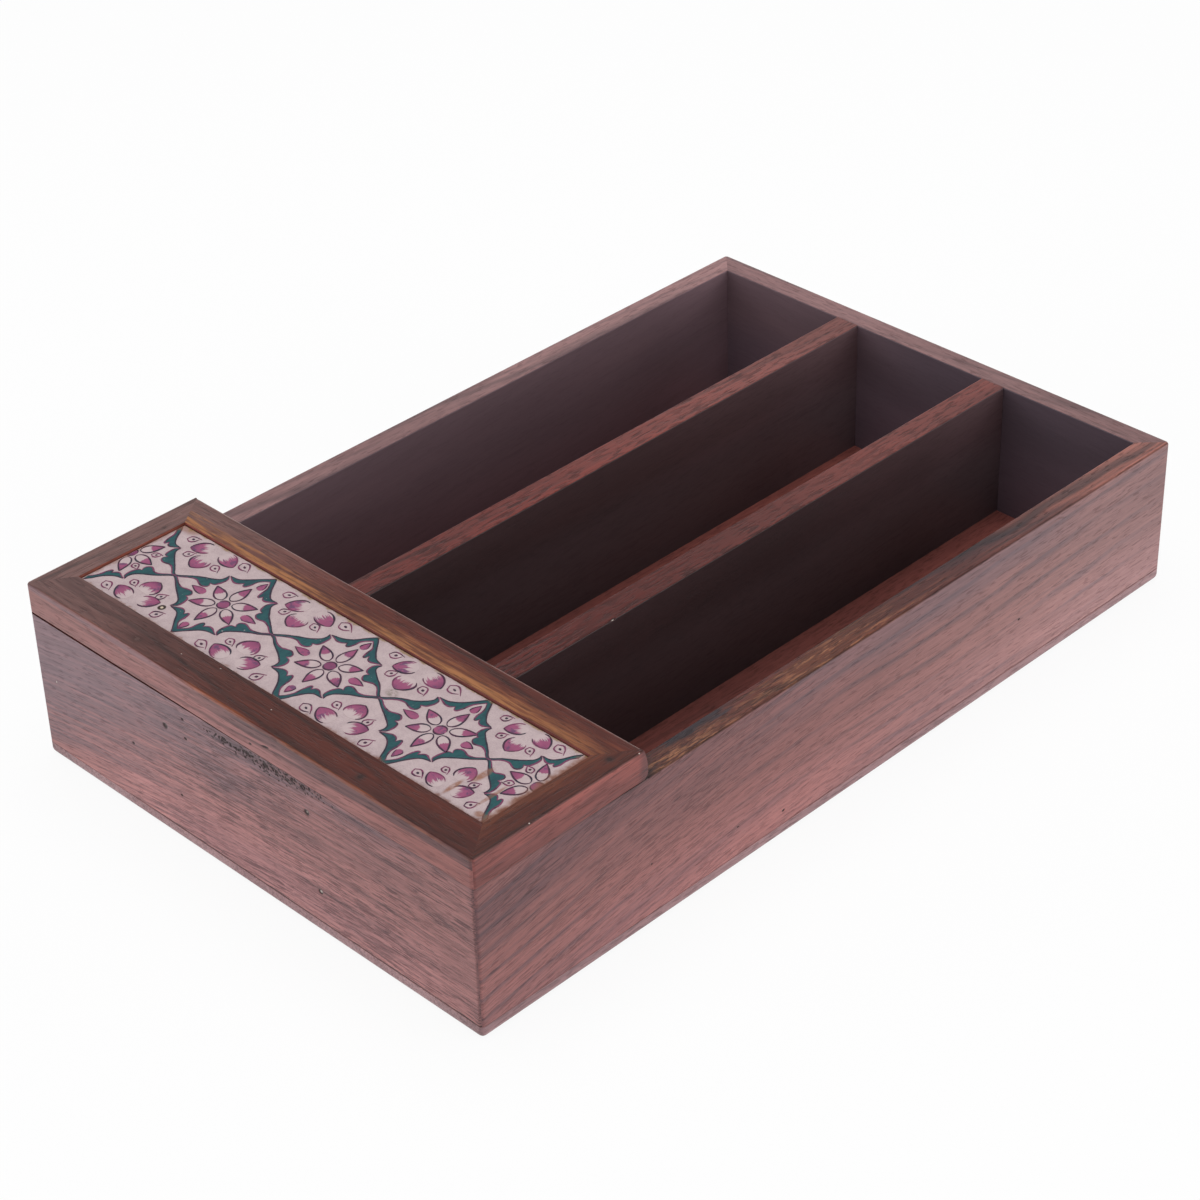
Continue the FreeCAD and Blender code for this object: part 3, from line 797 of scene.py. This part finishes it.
# Leaf outlines as shares of a quarter cell: across from its middle, and up from its middle line
APEX_LEAF_OUTER = ((0.0, 1.0), (0.09, 0.89), (0.17, 0.76), (0.25, 0.66), (0.34, 0.595), (0.47, 0.57))
APEX_LEAF_LOBES = (
    ((0.47, 0.57), (0.39, 0.525), (0.33, 0.495), (0.265, 0.505), (0.215, 0.57)),
    ((0.215, 0.57), (0.19, 0.51), (0.155, 0.515), (0.125, 0.61), (0.11, 0.73), (0.07, 0.81), (0.0, 0.89)),
)
NODE_LEAF_OUTER = ((0.49, 0.565), (0.48, 0.49), (0.50, 0.42), (0.56, 0.355), (0.66, 0.27),
                   (0.76, 0.20), (0.86, 0.13), (0.94, 0.06), (1.0, 0.015))
NODE_LEAF_LOBES = (
    ((1.0, -0.015), (0.93, 0.02), (0.86, 0.08), (0.78, 0.125), (0.70, 0.14), (0.63, 0.115), (0.56, 0.10),
     (0.50, 0.14), (0.49, 0.20), (0.52, 0.25)),
    ((0.52, 0.25), (0.455, 0.27), (0.425, 0.335), (0.415, 0.42), (0.43, 0.50), (0.49, 0.565)),
)


def spline(points, steps=5):
    """A smooth line through points, without bending past its ends."""
    spots = [Vector(point) for point in points]
    padded = [2 * spots[0] - spots[1], *spots, 2 * spots[-1] - spots[-2]]
    line = []
    for before, start, end, after in zip(padded, padded[1:], padded[2:], padded[3:]):
        for index in range(steps):
            t = index / steps
            bend = (2 * before - 5 * start + 4 * end - after) * t * t
            twist = (3 * start - before - 3 * end + after) * t ** 3
            line.append((2 * start + (end - before) * t + bend + twist) / 2)
    return [*line, spots[-1]]


class Sheet:
    """Thin raised paint of one colour on the tile, gathered into one mesh."""

    def __init__(self):
        self.shape = bmesh.new()
        self.layer = 0
        self.brush = self.shape.verts.layers.float_vector.new("brush")

    def corner(self, spot, height, brush=(0, 0, 0)):
        x = TILE_CENTRE.x + (spot[0] - TILE_LENGTH / 2) * MM
        y = TILE_CENTRE.y + spot[1] * MM
        made = self.shape.verts.new((x, y, TILE_TOP + height * MM))
        made[self.brush] = brush
        return made

    def next_layer(self, height):
        """A height for the next stroke, a trace above the one before, so that no two share a face."""
        self.layer = (self.layer + 1) % LAYERS
        return height + self.layer * LAYER_STEP

    def close(self, tops):
        """Walls down from the edge of a patch of paint, and a face below."""
        bottoms = []
        for top in tops:
            low = self.shape.verts.new((top.co.x, top.co.y, TILE_TOP - SUNK * MM))
            low[self.brush] = top[self.brush]
            bottoms.append(low)
        for index, after in enumerate([*range(1, len(tops)), 0]):
            self.shape.faces.new((tops[index], bottoms[index], bottoms[after], tops[after]))
        self.shape.faces.new(list(reversed(bottoms)))

    def plate(self, outline, brush=(0, 0, 0)):
        """A flat patch of paint inside a closed outline that runs anticlockwise."""
        height = self.next_layer(PAINT_HEIGHT)
        tops = [self.corner(spot, height, brush) for spot in outline]
        self.shape.faces.new(tops)
        self.close(tops)

    def line(self, points, width, start=0.0, end=0.0):
        """A flat brush line, as wide as start and end shares at its ends and full in the middle."""
        count = len(points) - 1
        height = self.next_layer(LINE_HEIGHT)
        rows = []
        for index, spot in enumerate(points):
            ahead = Vector(points[min(count, index + 1)]) - Vector(points[max(0, index - 1)])
            side = sideways(ahead).normalized()
            share = index / count
            swell = math.sin(math.pi * share) ** 0.6
            unsteady = 1 + 0.35 * noise.noise((spot[0] * 0.6, spot[1] * 0.6, width * 9))
            half = width / 2 * unsteady * max(swell, start * (1 - share) + end * share, 0.08)
            edges = (Vector(spot) + side * half, Vector(spot) - side * half)
            places = ((edges[0], -SUNK), (edges[0], height), (edges[1], height), (edges[1], -SUNK))
            rows.append([self.corner(place, level) for place, level in places])
        for first, second in zip(rows, rows[1:]):
            for a, b in ((0, 1), (1, 2), (2, 3), (3, 0)):
                self.shape.faces.new((first[a], first[b], second[b], second[a]))
        self.shape.faces.new(tuple(reversed(rows[0])))
        self.shape.faces.new(rows[-1])

    def petal(self, base, tip, width, fullness, tone=0.0, rows=14, columns=6):
        """A petal from base to tip. fullness holds how round its base and its tip are."""
        base, tip = Vector(base), Vector(tip)
        ahead = tip - base
        side = sideways(ahead).normalized()
        height = self.next_layer(PAINT_HEIGHT)
        grid = []
        for row in range(rows + 1):
            share = (1 - math.cos(math.pi * row / rows)) / 2
            half = width / 2 * petal_width(share, fullness)
            middle = base + ahead * share
            if row in (0, rows):
                grid.append([self.corner(middle, height, (share, 0, tone))])
                continue
            places = [2 * column / columns - 1 for column in range(columns + 1)]
            grid.append([self.corner(middle + side * half * place, height, (share, place, tone))
                         for place in places])
        for first, second in zip(grid, grid[1:]):
            self.row(first, second)
        edge = [grid[0][0], *[cells[0] for cells in grid[1:-1]], grid[-1][0],
                *[cells[-1] for cells in reversed(grid[1:-1])]]
        self.close(list(reversed(edge)))

    def row(self, first, second):
        columns = max(len(first), len(second)) - 1
        for index in range(columns):
            a, b = (first[min(index + step, len(first) - 1)] for step in (0, 1))
            c, d = (second[min(index + step, len(second) - 1)] for step in (1, 0))
            corners = [a] if a is b else [a, b]
            corners += [c] if c is d else [c, d]
            self.shape.faces.new(corners)

    def trimmed(self):
        """Cuts off what runs past the tile's ends and edges, and closes the cuts."""
        sides = ((X, TILE_HIGH.x), (MINUS_X, -TILE_LOW.x), (Y, TILE_HIGH.y), (MINUS_Y, -TILE_LOW.y))
        for normal, end in sides:
            made = bmesh.ops.bisect_plane(self.shape, geom=everything(self.shape), dist=TRIM_TOUCH,
                                          plane_co=Vector(normal) * (end - TILE_INSET), plane_no=normal,
                                          clear_outer=True)
            edges = [item for item in made["geom_cut"] if isinstance(item, bmesh.types.BMEdge)]
            bmesh.ops.holes_fill(self.shape, edges=edges, sides=0)

    def done(self, name, material):
        self.trimmed()
        bmesh.ops.recalc_face_normals(self.shape, faces=self.shape.faces)
        add_piece(name, self.shape, material)


def sideways(ahead):
    return Vector((-ahead.y, ahead.x))


def petal_width(share, fullness):
    base, tip = fullness
    widest = base / (base + tip)
    most = widest ** base * (1 - widest) ** tip
    return share ** base * (1 - share) ** tip / most


def petal_side(base, tip, width, fullness, way, start, end, steps=14):
    """Points along one side of a petal, from one share of its length to another."""
    base, tip = Vector(base), Vector(tip)
    ahead = tip - base
    side = sideways(ahead).normalized() * way
    line = []
    for index in range(steps + 1):
        share = start + (end - start) * (1 - math.cos(math.pi * index / steps)) / 2
        line.append(base + ahead * share + side * (width / 2 * petal_width(share, fullness)))
    return line


Quarter = namedtuple("Quarter", "centre apex crossing rise push")


def quarter_cells():
    """Every quarter of every cell: its middle, its apex, where it meets the next cell, and its way up."""
    quarters = []
    for index, crossing in enumerate(CROSSINGS):
        for cell in (index, index + 1):
            for rise, apexes, pushes in ((1, REAR_APEXES, REAR_PUSHES), (-1, FRONT_APEXES, FRONT_PUSHES)):
                quarters.append(Quarter(CELL_CENTRES[cell], apexes[cell], crossing, rise, pushes[cell]))
    return quarters


def in_quarter(quarter, share):
    """A place in a quarter cell, from its shares across and up, a little off as a hand paints it."""
    across, up = share
    middle = quarter.centre[0] + (quarter.apex - quarter.centre[0]) * up
    level = quarter.centre[1] * (1 - across) + quarter.crossing[1] * across
    x = middle + (quarter.crossing[0] - middle) * across
    rise = up * HALF_DEPTH + quarter.push * max(0.0, up - 0.6) / 0.4
    spot = Vector((x, level * (1 - up) + quarter.rise * rise))
    wobble = [noise.noise((spot.x * WOBBLE_PACE, spot.y * WOBBLE_PACE, depth)) for depth in (5.0, 9.0)]
    return spot + Vector(wobble) * WOBBLE


def anticlockwise(outline):
    turn = sum(a.x * b.y - b.x * a.y for a, b in zip(outline, [*outline[1:], outline[0]]))
    return outline if turn > 0 else list(reversed(outline))


Paints = namedtuple("Paints", "leaves edges trellis petals buds drops lines")


def add_leaf(paints, quarter, outer, lobes):
    outside = spline([in_quarter(quarter, share) for share in outer])
    insides = [spline([in_quarter(quarter, share) for share in lobe]) for lobe in lobes]
    outline = outside[:-1]
    for inside in insides:
        outline += inside[:-1]
    if (outline[0] - insides[-1][-1]).length > 0.05:
        outline.append(insides[-1][-1])
    paints.leaves.plate(anticlockwise(outline))
    paints.trellis.line(outside, 0.52, 0.8, 0.8)
    for inside in insides:
        paints.edges.line(inside, 0.54, 0.5, 0.5)


def add_trellis(paints):
    for quarter in quarter_cells():
        add_leaf(paints, quarter, APEX_LEAF_OUTER, APEX_LEAF_LOBES)
        add_leaf(paints, quarter, NODE_LEAF_OUTER, NODE_LEAF_LOBES)


PETAL_ROUND = (0.62, 1.12)
BUD_ROUND = (0.50, 0.72)
DROP_ROUND = (0.45, 1.15)
PETAL_INNER, PETAL_OUTER = 2.9, 11.2
DISC_RADIUS = 2.1
CELL_ANGLES = (28, 90, 152, 211, 270, 328)


def around(centre, angle, distance):
    turn = math.radians(angle)
    return Vector((centre[0] + math.cos(turn) * distance, centre[1] + math.sin(turn) * distance))


def add_rosette(paints, pick, centre, angles):
    for angle in angles:
        swing = angle + pick.uniform(-3, 3)
        base = around(centre, swing, PETAL_INNER)
        tip = around(centre, swing, PETAL_OUTER + pick.uniform(-0.6, 0.7))
        width = pick.uniform(3.8, 4.2)
        paints.petals.petal(base, tip, width, PETAL_ROUND, pick.random())
        for way in (1, -1):
            side = petal_side(base, tip, width, PETAL_ROUND, way, 0.0, 1.0)
            paints.lines.line(side, 0.60, 0.6, 0.7)


def add_disc(paints, centre, tone, count=24):
    ring = [around(centre, 360 * index / count, DISC_RADIUS) for index in range(count)]
    paints.drops.plate(ring, (0.9, 0, tone))
    for start in (20, 200):
        arc = [around(centre, start + 150 * index / 12, DISC_RADIUS) for index in range(13)]
        paints.lines.line(arc, 0.6, 0.3, 0.3)


def add_drop(paints, base, tip, width, tone):
    paints.drops.petal(base, tip, width, DROP_ROUND, tone)
    paints.lines.line(petal_side(base, tip, width, DROP_ROUND, 1, 0.1, 1.0), 0.42, 0.3, 0.4)
    paints.edges.line(petal_side(base, tip, width, DROP_ROUND, -1, 0.2, 1.0), 0.42, 0.2, 0.4)


def add_bud(paints, base, tip, width, pick):
    paints.buds.petal(base, tip, width, BUD_ROUND, pick.random(), 18, 12)
    strong = pick.choice((1, -1))
    for way in (1, -1):
        side = petal_side(base, tip, width, BUD_ROUND, way, 0.10 if way == strong else 0.18, 1.0)
        if way == strong:
            paints.lines.line(side, 0.62, 0.2, 0.7)
        else:
            paints.edges.line(side, 0.50, 0.2, 0.7)


def add_seed(paints, centre, length, angle):
    """A small eye: two bowed lines that cross at one end, with a dot inside."""
    ahead = around((0, 0), angle, length / 2)
    side = sideways(ahead) * 0.72
    middle = Vector(centre)
    for way in (1, -1):
        bow = [middle - ahead, middle - ahead * 0.45 + side * way * 0.9,
               middle + ahead * 0.3 + side * way * 0.8, middle + ahead * (1.12 + 0.2 * way)]
        paints.edges.line(spline(bow, 6), 0.50, 0.6, 0.4)
    dot = [middle - ahead * 0.24, middle, middle + ahead * 0.24]
    paints.lines.line(spline(dot, 3), 0.85, 0.3, 0.3)


# Buds and seeds of a trio, as places beside its crossing: across, and up from the middle line
REAR_BUDS = (((-2.4, 18.4), (-9.4, 13.8)), ((2.0, 18.4), (10.4, 15.2)), ((0.0, 13.4), (0.1, 6.2)))
FRONT_BUDS = (((-1.2, -18.2), (-9.4, -15.4)), ((3.0, -17.6), (9.8, -13.4)), ((0.0, -13.0), (0.0, -5.6)))
REAR_SEEDS = ((-12.8, 17.9, 4.6, 30), (13.8, 17.9, 5.6, -25), (-6.8, 10.8, 4.2, 45), (6.9, 11.4, 4.5, -35))
FRONT_SEEDS = ((-12.4, -18.4, 5.2, -20), (13.8, -18.2, 4.8, 50), (-6.6, -11.6, 4.1, -30),
               (6.8, -11.0, 4.1, 60))
BUD_WIDTHS = (6.4, 6.2, 7.7)


def add_trios(paints, pick):
    for index, (crossing, lift) in enumerate(CROSSINGS):
        room = (CELL_CENTRES[index + 1][0] - CELL_CENTRES[index][0]) / FULL_CELL
        squeeze = min(1.0, room)
        for (base, tip), width in zip((*REAR_BUDS, *FRONT_BUDS), BUD_WIDTHS * 2):
            shift = Vector((crossing + pick.uniform(-0.4, 0.4), lift / 2 + pick.uniform(-0.3, 0.3)))
            start = Vector((base[0] * squeeze, base[1])) + shift
            end = Vector((tip[0] * squeeze, tip[1])) + shift
            add_bud(paints, start, end, width * squeeze * pick.uniform(0.95, 1.05), pick)
        for across, up, length, angle in (*REAR_SEEDS, *FRONT_SEEDS):
            spot = (crossing + across * squeeze, lift / 2 + up + pick.uniform(-0.3, 0.3))
            add_seed(paints, spot, length * squeeze, angle + pick.uniform(-12, 12))


def add_cells(paints, pick):
    for index, (centre, lift) in enumerate(CELL_CENTRES[1:-1]):
        middle = (centre + pick.uniform(-0.2, 0.2), lift)
        add_rosette(paints, pick, middle, CELL_ANGLES)
        add_disc(paints, middle, pick.random())
        for crossing, level in (CROSSINGS[index], CROSSINGS[index + 1]):
            reach = crossing - centre
            way = math.copysign(1, reach)
            far = way * min(16.0, abs(reach) * 0.66)
            height = (lift + level) / 2
            add_drop(paints, (centre + way * 9.4, height), (centre + far, height + 0.2), 3.0, pick.random())
        for apexes, inner, outer in ((REAR_APEXES, 12.7, 17.2), (FRONT_APEXES, -13.8, -18.2)):
            apex = apexes[index + 1]
            add_drop(paints, (apex, inner + lift / 2), (apex, outer + lift / 2), 2.5, pick.random())


def add_end_cells(paints, pick):
    for centre, facing in ((CELL_CENTRES[0], 0), (CELL_CENTRES[-1], 180)):
        add_rosette(paints, pick, centre, (facing - 60, facing, facing + 60))
        add_disc(paints, centre, pick.random())
        for angle in (facing - 30, facing + 30):
            add_seed(paints, around(centre, angle, 8.6), 3.5, angle)


# Tile finishes

GROUND = paint(189, 170, 171)
GROUND_DULL = paint(177, 157, 160)
TEAL = paint(26, 80, 83)
TEAL_DARK = paint(20, 64, 72)
MAGENTA = paint(148, 75, 110)
MAGENTA_DARK = paint(106, 48, 86)
PLUM = paint(66, 30, 56)
BLUE_PLUM = paint(72, 58, 92)
EDGE_PLUM = paint(116, 50, 86)
NAVY = paint(36, 31, 50)
STAIN = paint(138, 92, 70)
RUST = paint(112, 66, 50)
DIRT = paint(118, 108, 96)
VARNISH = paint(140, 112, 66)
COAT_FULL = (1.0, 1.0, 1.0, 1)
COAT_THIN = (0.80, 0.78, 0.79, 1)
COAT_RELIEF = 0.012 * MM
COAT_SHINE = 0.28
CHIP_DARK = paint(44, 26, 18)
CHIP_PALE = paint(204, 186, 164)
CHIP_SPOT = (-61.0 * MM, -143.7 * MM, TILE_TOP)


class Glaze(Look):
    """Hand-painted tile: a soft uneven coat, stained where it meets the frame."""

    def __init__(self, name):
        super().__init__(name)
        self.point = self.place()
        self.mottle = self.blots(260, 4)
        self.tooth = self.blots(2200, 2)
        self.ragged = self.times(self.plus(self.mottle, -0.5), 5 * MM)

    def blots(self, scale, detail, roughness=0.6):
        return self.noise(self.stretched(self.point, (scale, scale, scale)), detail, roughness)

    def edge(self, axis, level, width):
        """One at an edge of the tile, fading with a ragged line over a width in mm."""
        reach = self.plus(self.dot(self.point, axis), self.ragged)
        return self.ramp(reach, level - width * MM, level)

    def spot(self, x, y, across, deep):
        """One in the middle of a ragged spot, with its place and half sizes in mm."""
        flat = self.stretched(self.point, (1 / across, 1 / deep, 0))
        far = self.distance(flat, (x / across * MM, y / deep * MM, 0))
        return self.ramp(self.plus(far, self.times(self.ragged, 0.15)), 1.0 * MM, 0.4 * MM)

    def smears(self):
        """Brown runs down the tile near its right end."""
        runs = self.spot(74.4, -144.6, 1.3, 5.8)
        for x, y, across, deep in ((76.9, -135, 1.7, 5.4), (85.9, -140, 0.9, 8), (89.4, -148.4, 2.2, 1.8)):
            runs = self.most(runs, self.spot(x, y, across, deep))
        return self.times(runs, self.ramp(self.mottle, 0.3, 0.55, 0.45, 1.0))

    def coat(self, roughness=0.55):
        fade = self.times(self.ramp(self.mottle, 0.3, 0.75), 0.6)
        uneven = self.mix(fade, COAT_FULL, COAT_THIN)
        self.colour = self.mix(1.0, self.colour, uneven, "MULTIPLY")
        self.tint(STAIN, self.edge(X, TILE_HIGH.x - 0.4 * MM, 3.0), 0.85)
        self.tint(RUST, self.edge(X, TILE_HIGH.x, 2.0), 0.8)
        self.tint(STAIN, self.edge(MINUS_X, -TILE_LOW.x, 1.6), 0.5)
        self.tint(STAIN, self.spot(-90.5, -109.0, 6.0, 3.0), 0.6)
        self.tint(VARNISH, self.edge(Y, TILE_HIGH.y, 1.1), 0.75)
        self.tint(STAIN, self.edge(MINUS_Y, -TILE_LOW.y, 0.9), 0.5)
        right_part = self.ramp(self.dot(self.point, X), 10 * MM, 70 * MM)
        self.tint(RUST, self.edge(MINUS_Y, -TILE_LOW.y, 1.8), right_part, 0.7)
        self.tint(STAIN, self.smears(), 0.9)
        self.tint(DIRT, self.spot(27, -125.5, 3.2, 2.4), self.ramp(self.mottle, 0.40, 0.56), 0.85)
        gloss = self.ramp(self.mottle, 0.3, 0.7, roughness - 0.08, roughness + 0.08)
        return self.finish(gloss, self.tooth, COAT_RELIEF, COAT_SHINE)


def ground_look():
    look = Glaze("tile_ground")
    look.colour = look.mix(look.ramp(look.tooth, 0.35, 0.75), GROUND, GROUND_DULL)
    spot = look.plus(look.distance(look.point, CHIP_SPOT), look.times(look.ragged, 0.25))
    look.tint(CHIP_DARK, look.ramp(spot, 1.5 * MM, 1.2 * MM))
    look.tint(CHIP_PALE, look.ramp(spot, 0.6 * MM, 0.3 * MM))
    return look.coat()


def leaf_look():
    look = Glaze("tile_leaf_paint")
    strokes = look.noise(look.stretched(look.point, (900, 320, 500)), 3, 0.6, 0.4)
    look.colour = look.mix(look.ramp(strokes, 0.35, 0.7), TEAL, TEAL_DARK)
    look.tint(GROUND_DULL, look.ramp(look.blots(480, 2), 0.70, 0.76), 0.7)
    return look.coat(0.5)


def line_look(name, first, second):
    look = Glaze(name)
    look.colour = look.mix(look.ramp(look.blots(330, 2, 0.5), 0.48, 0.62), first, second)
    return look.coat(0.5)


def petal_look(name, edge, softness, ragged, hollow):
    """Petals: bare from the base, then magenta to the tip, with a line that is crisp or ragged."""
    look = Glaze(name)
    brush = look.attribute("brush", "Vector")
    share, place, tone = (look.dot(brush, axis) for axis in (X, Y, Z))
    hairs = look.vector(look.times(share, 1.2), look.times(place, 6.0), look.times(tone, 60.0))
    bristles = look.noise(hairs, 3, 0.7)
    reach = look.plus(share, look.times(place, place, hollow))
    reach = look.plus(reach, look.times(look.plus(bristles, -0.5), ragged))
    painted = look.ramp(reach, edge - softness, edge + softness)
    uneven = look.ramp(look.plus(bristles, look.times(tone, 0.3)), 0.4, 0.8)
    rich = look.mix(look.times(look.ramp(share, 0.55, 1.0), uneven, 0.8), MAGENTA, MAGENTA_DARK)
    rich = look.mix(look.ramp(look.blots(430, 3), 0.53, 0.64, 0.0, 0.65), rich, BLUE_PLUM)
    look.colour = look.mix(painted, GROUND, rich)
    return look.coat(0.5)


def add_tile_paint():
    pick = random.Random(20)
    paints = Paints(*(Sheet() for _ in Paints._fields))
    add_trellis(paints)
    add_cells(paints, pick)
    add_end_cells(paints, pick)
    add_trios(paints, pick)
    paints.leaves.done("tile_leaves", leaf_look())
    paints.edges.done("tile_leaf_edges", line_look("tile_edge_paint", EDGE_PLUM, PLUM))
    paints.trellis.done("tile_trellis_lines", line_look("tile_trellis_paint", NAVY, PLUM))
    paints.petals.done("tile_rosette_petals", petal_look("tile_petal_paint", 0.44, 0.03, 0.2, -0.08))
    paints.buds.done("tile_buds", petal_look("tile_bud_paint", 0.40, 0.07, 1.1, 0.05))
    paints.drops.done("tile_drops", petal_look("tile_drop_paint", -0.5, 0.05, 0.1, 0.0))
    paints.lines.done("tile_outlines", line_look("tile_line_paint", PLUM, NAVY))


# Stage

WHITE = (1, 1, 1, 1)
PAPER = (0.86, 0.86, 0.87, 1)


def add_lights():
    aim = Vector((0, 0, 0.03))
    softboxes = (("overhead_softbox", (-0.1, 0.05, 1.5), (1.2, 1.2), 15),
                 ("front_softbox", (-0.45, -1.5, 0.42), (1.2, 0.6), 8),
                 ("right_softbox", (1.5, 0.40, 0.42), (1.2, 0.6), 8))
    for name, place, size, power in softboxes:
        lamp = bpy.data.lights.new(name, "AREA")
        lamp.shape = "RECTANGLE"
        lamp.size, lamp.size_y = size
        lamp.energy = power
        holder = add_object(name, lamp)
        holder.location = place
        holder.rotation_euler = (aim - Vector(place)).to_track_quat("-Z", "Y").to_euler()


def add_world():
    """White from the floor up to a little above eye level, then a dim ceiling, as in a pale studio."""
    bright_to, dim_from, dim = 0.48, 0.57, 0.12
    world = bpy.data.worlds.new("studio")
    bpy.context.scene.world = world
    world.use_nodes = True
    sky = Nodes(world.node_tree)
    way = sky.node("SeparateXYZ", sky.node("TexCoord").outputs["Generated"])
    strength = sky.ramp(way.outputs["Z"], bright_to, dim_from, 1.0, dim)
    sky.fill(sky.tree.nodes["Background"], {"Color": WHITE, "Strength": strength})


def add_floor():
    """A pale floor that looks white where it is seen and still keeps the object's shadow."""
    whiteness, half_width, drop = 0.92, 8, 0.05 * MM
    shape = bmesh.new()
    bmesh.ops.create_grid(shape, x_segments=8, y_segments=8, size=half_width)
    floor = add_object("floor", to_mesh("floor", shape))
    floor.location.z = CAD_BOX[0].z - drop
    look = Look("floor_paper")
    rays = look.node("LightPath").outputs
    seen = look.most(rays["Is Camera Ray"], rays["Is Glossy Ray"])
    seen = look.most(seen, rays["Is Transmission Ray"])
    paper = look.node("BsdfDiffuse", PAPER)
    glow = look.node("Emission", WHITE, 1.0)
    both = look.node("MixShader", look.times(seen, whiteness), paper.outputs[0], glow.outputs[0])
    look.feed(look.tree.nodes["Material Output"].inputs["Surface"], both.outputs[0])
    look.tree.nodes.remove(look.surface)
    floor.data.materials.append(look.material)


def add_camera():
    right = Vector((math.cos(VIEW_AZIMUTH), math.sin(VIEW_AZIMUTH), 0))
    level = math.cos(VIEW_ELEVATION)
    back = Vector((math.sin(VIEW_AZIMUTH) * level, -math.cos(VIEW_AZIMUTH) * level, math.sin(VIEW_ELEVATION)))
    up = back.cross(right)
    turned = right * math.cos(VIEW_ROLL) + up * math.sin(VIEW_ROLL)
    lifted = up * math.cos(VIEW_ROLL) - right * math.sin(VIEW_ROLL)
    lens = bpy.data.cameras.new("photo_camera")
    lens.sensor_width = SENSOR_WIDTH
    lens.lens = FOCAL_PIXELS * SENSOR_WIDTH / PHOTO_WIDTH
    lens.clip_start = 0.01
    lens.clip_end = 100
    camera = add_object("photo_camera", lens)
    turn = Matrix((turned, lifted, back)).transposed().to_4x4()
    camera.matrix_world = Matrix.Translation(VIEW_TARGET + back * VIEW_DISTANCE) @ turn
    bpy.context.scene.camera = camera


# The whole stand

def add_boards():
    front_marks = [*dent_groups(front_dents()), pitted_streak(random.Random(7))]
    worn_copy("front_wall", front_wall_look(), front_marks, open_seam)
    worn_copy("right_wall", right_wall_look(), dent_groups(right_wall_dents()))
    right_divider = divider_look("right_divider_wood", (0.3, 0.9, 0.2), TOP_RED_NEAR, TOP_RED_FAR_LIT, 0.88)
    worn_copy("right_divider", right_divider, dent_groups(divider_chip()))
    close_front = seam_closer(0, -25, 5)
    worn_copy("cover_front_rail", front_rail_look(), dent_groups(rail_marks()), close_front)
    close_right = seam_closer(1, -104, -112)
    worn_copy("cover_right_stile", right_stile_look(), dent_groups(stile_nicks()), close_right)


def dress_nodes():
    steel = hidden_look("pin_steel", STEEL, 0.3)
    steel.node_tree.nodes["Principled BSDF"].inputs["Metallic"].default_value = 1.0
    materials = {
        "left_divider": divider_look("left_divider_wood", (0.8, 0.4, 0.6), TOP_NEAR, TOP_FAR_LIT, 1.0),
        "left_wall": left_wall_look(),
        "back_wall": back_wall_look(),
        "base_panel": base_look(),
        "cover_back_rail": back_rail_look(),
        "cover_left_stile": left_stile_look(),
        "cover_pin_fillers": filler_look(),
        "tile": ground_look(),
        "tile_backing": hidden_look("backing_board", BACKING_BOARD, 0.6),
        "base_pins": steel,
        "cover_pins": steel,
    }
    for node, material in materials.items():
        NODES[node].data.materials.clear()
        NODES[node].data.materials.append(material)


bpy.context.scene.view_settings.view_transform = "Standard"
add_boards()
dress_nodes()
add_tile_paint()
add_world()
add_floor()
add_lights()
add_camera()
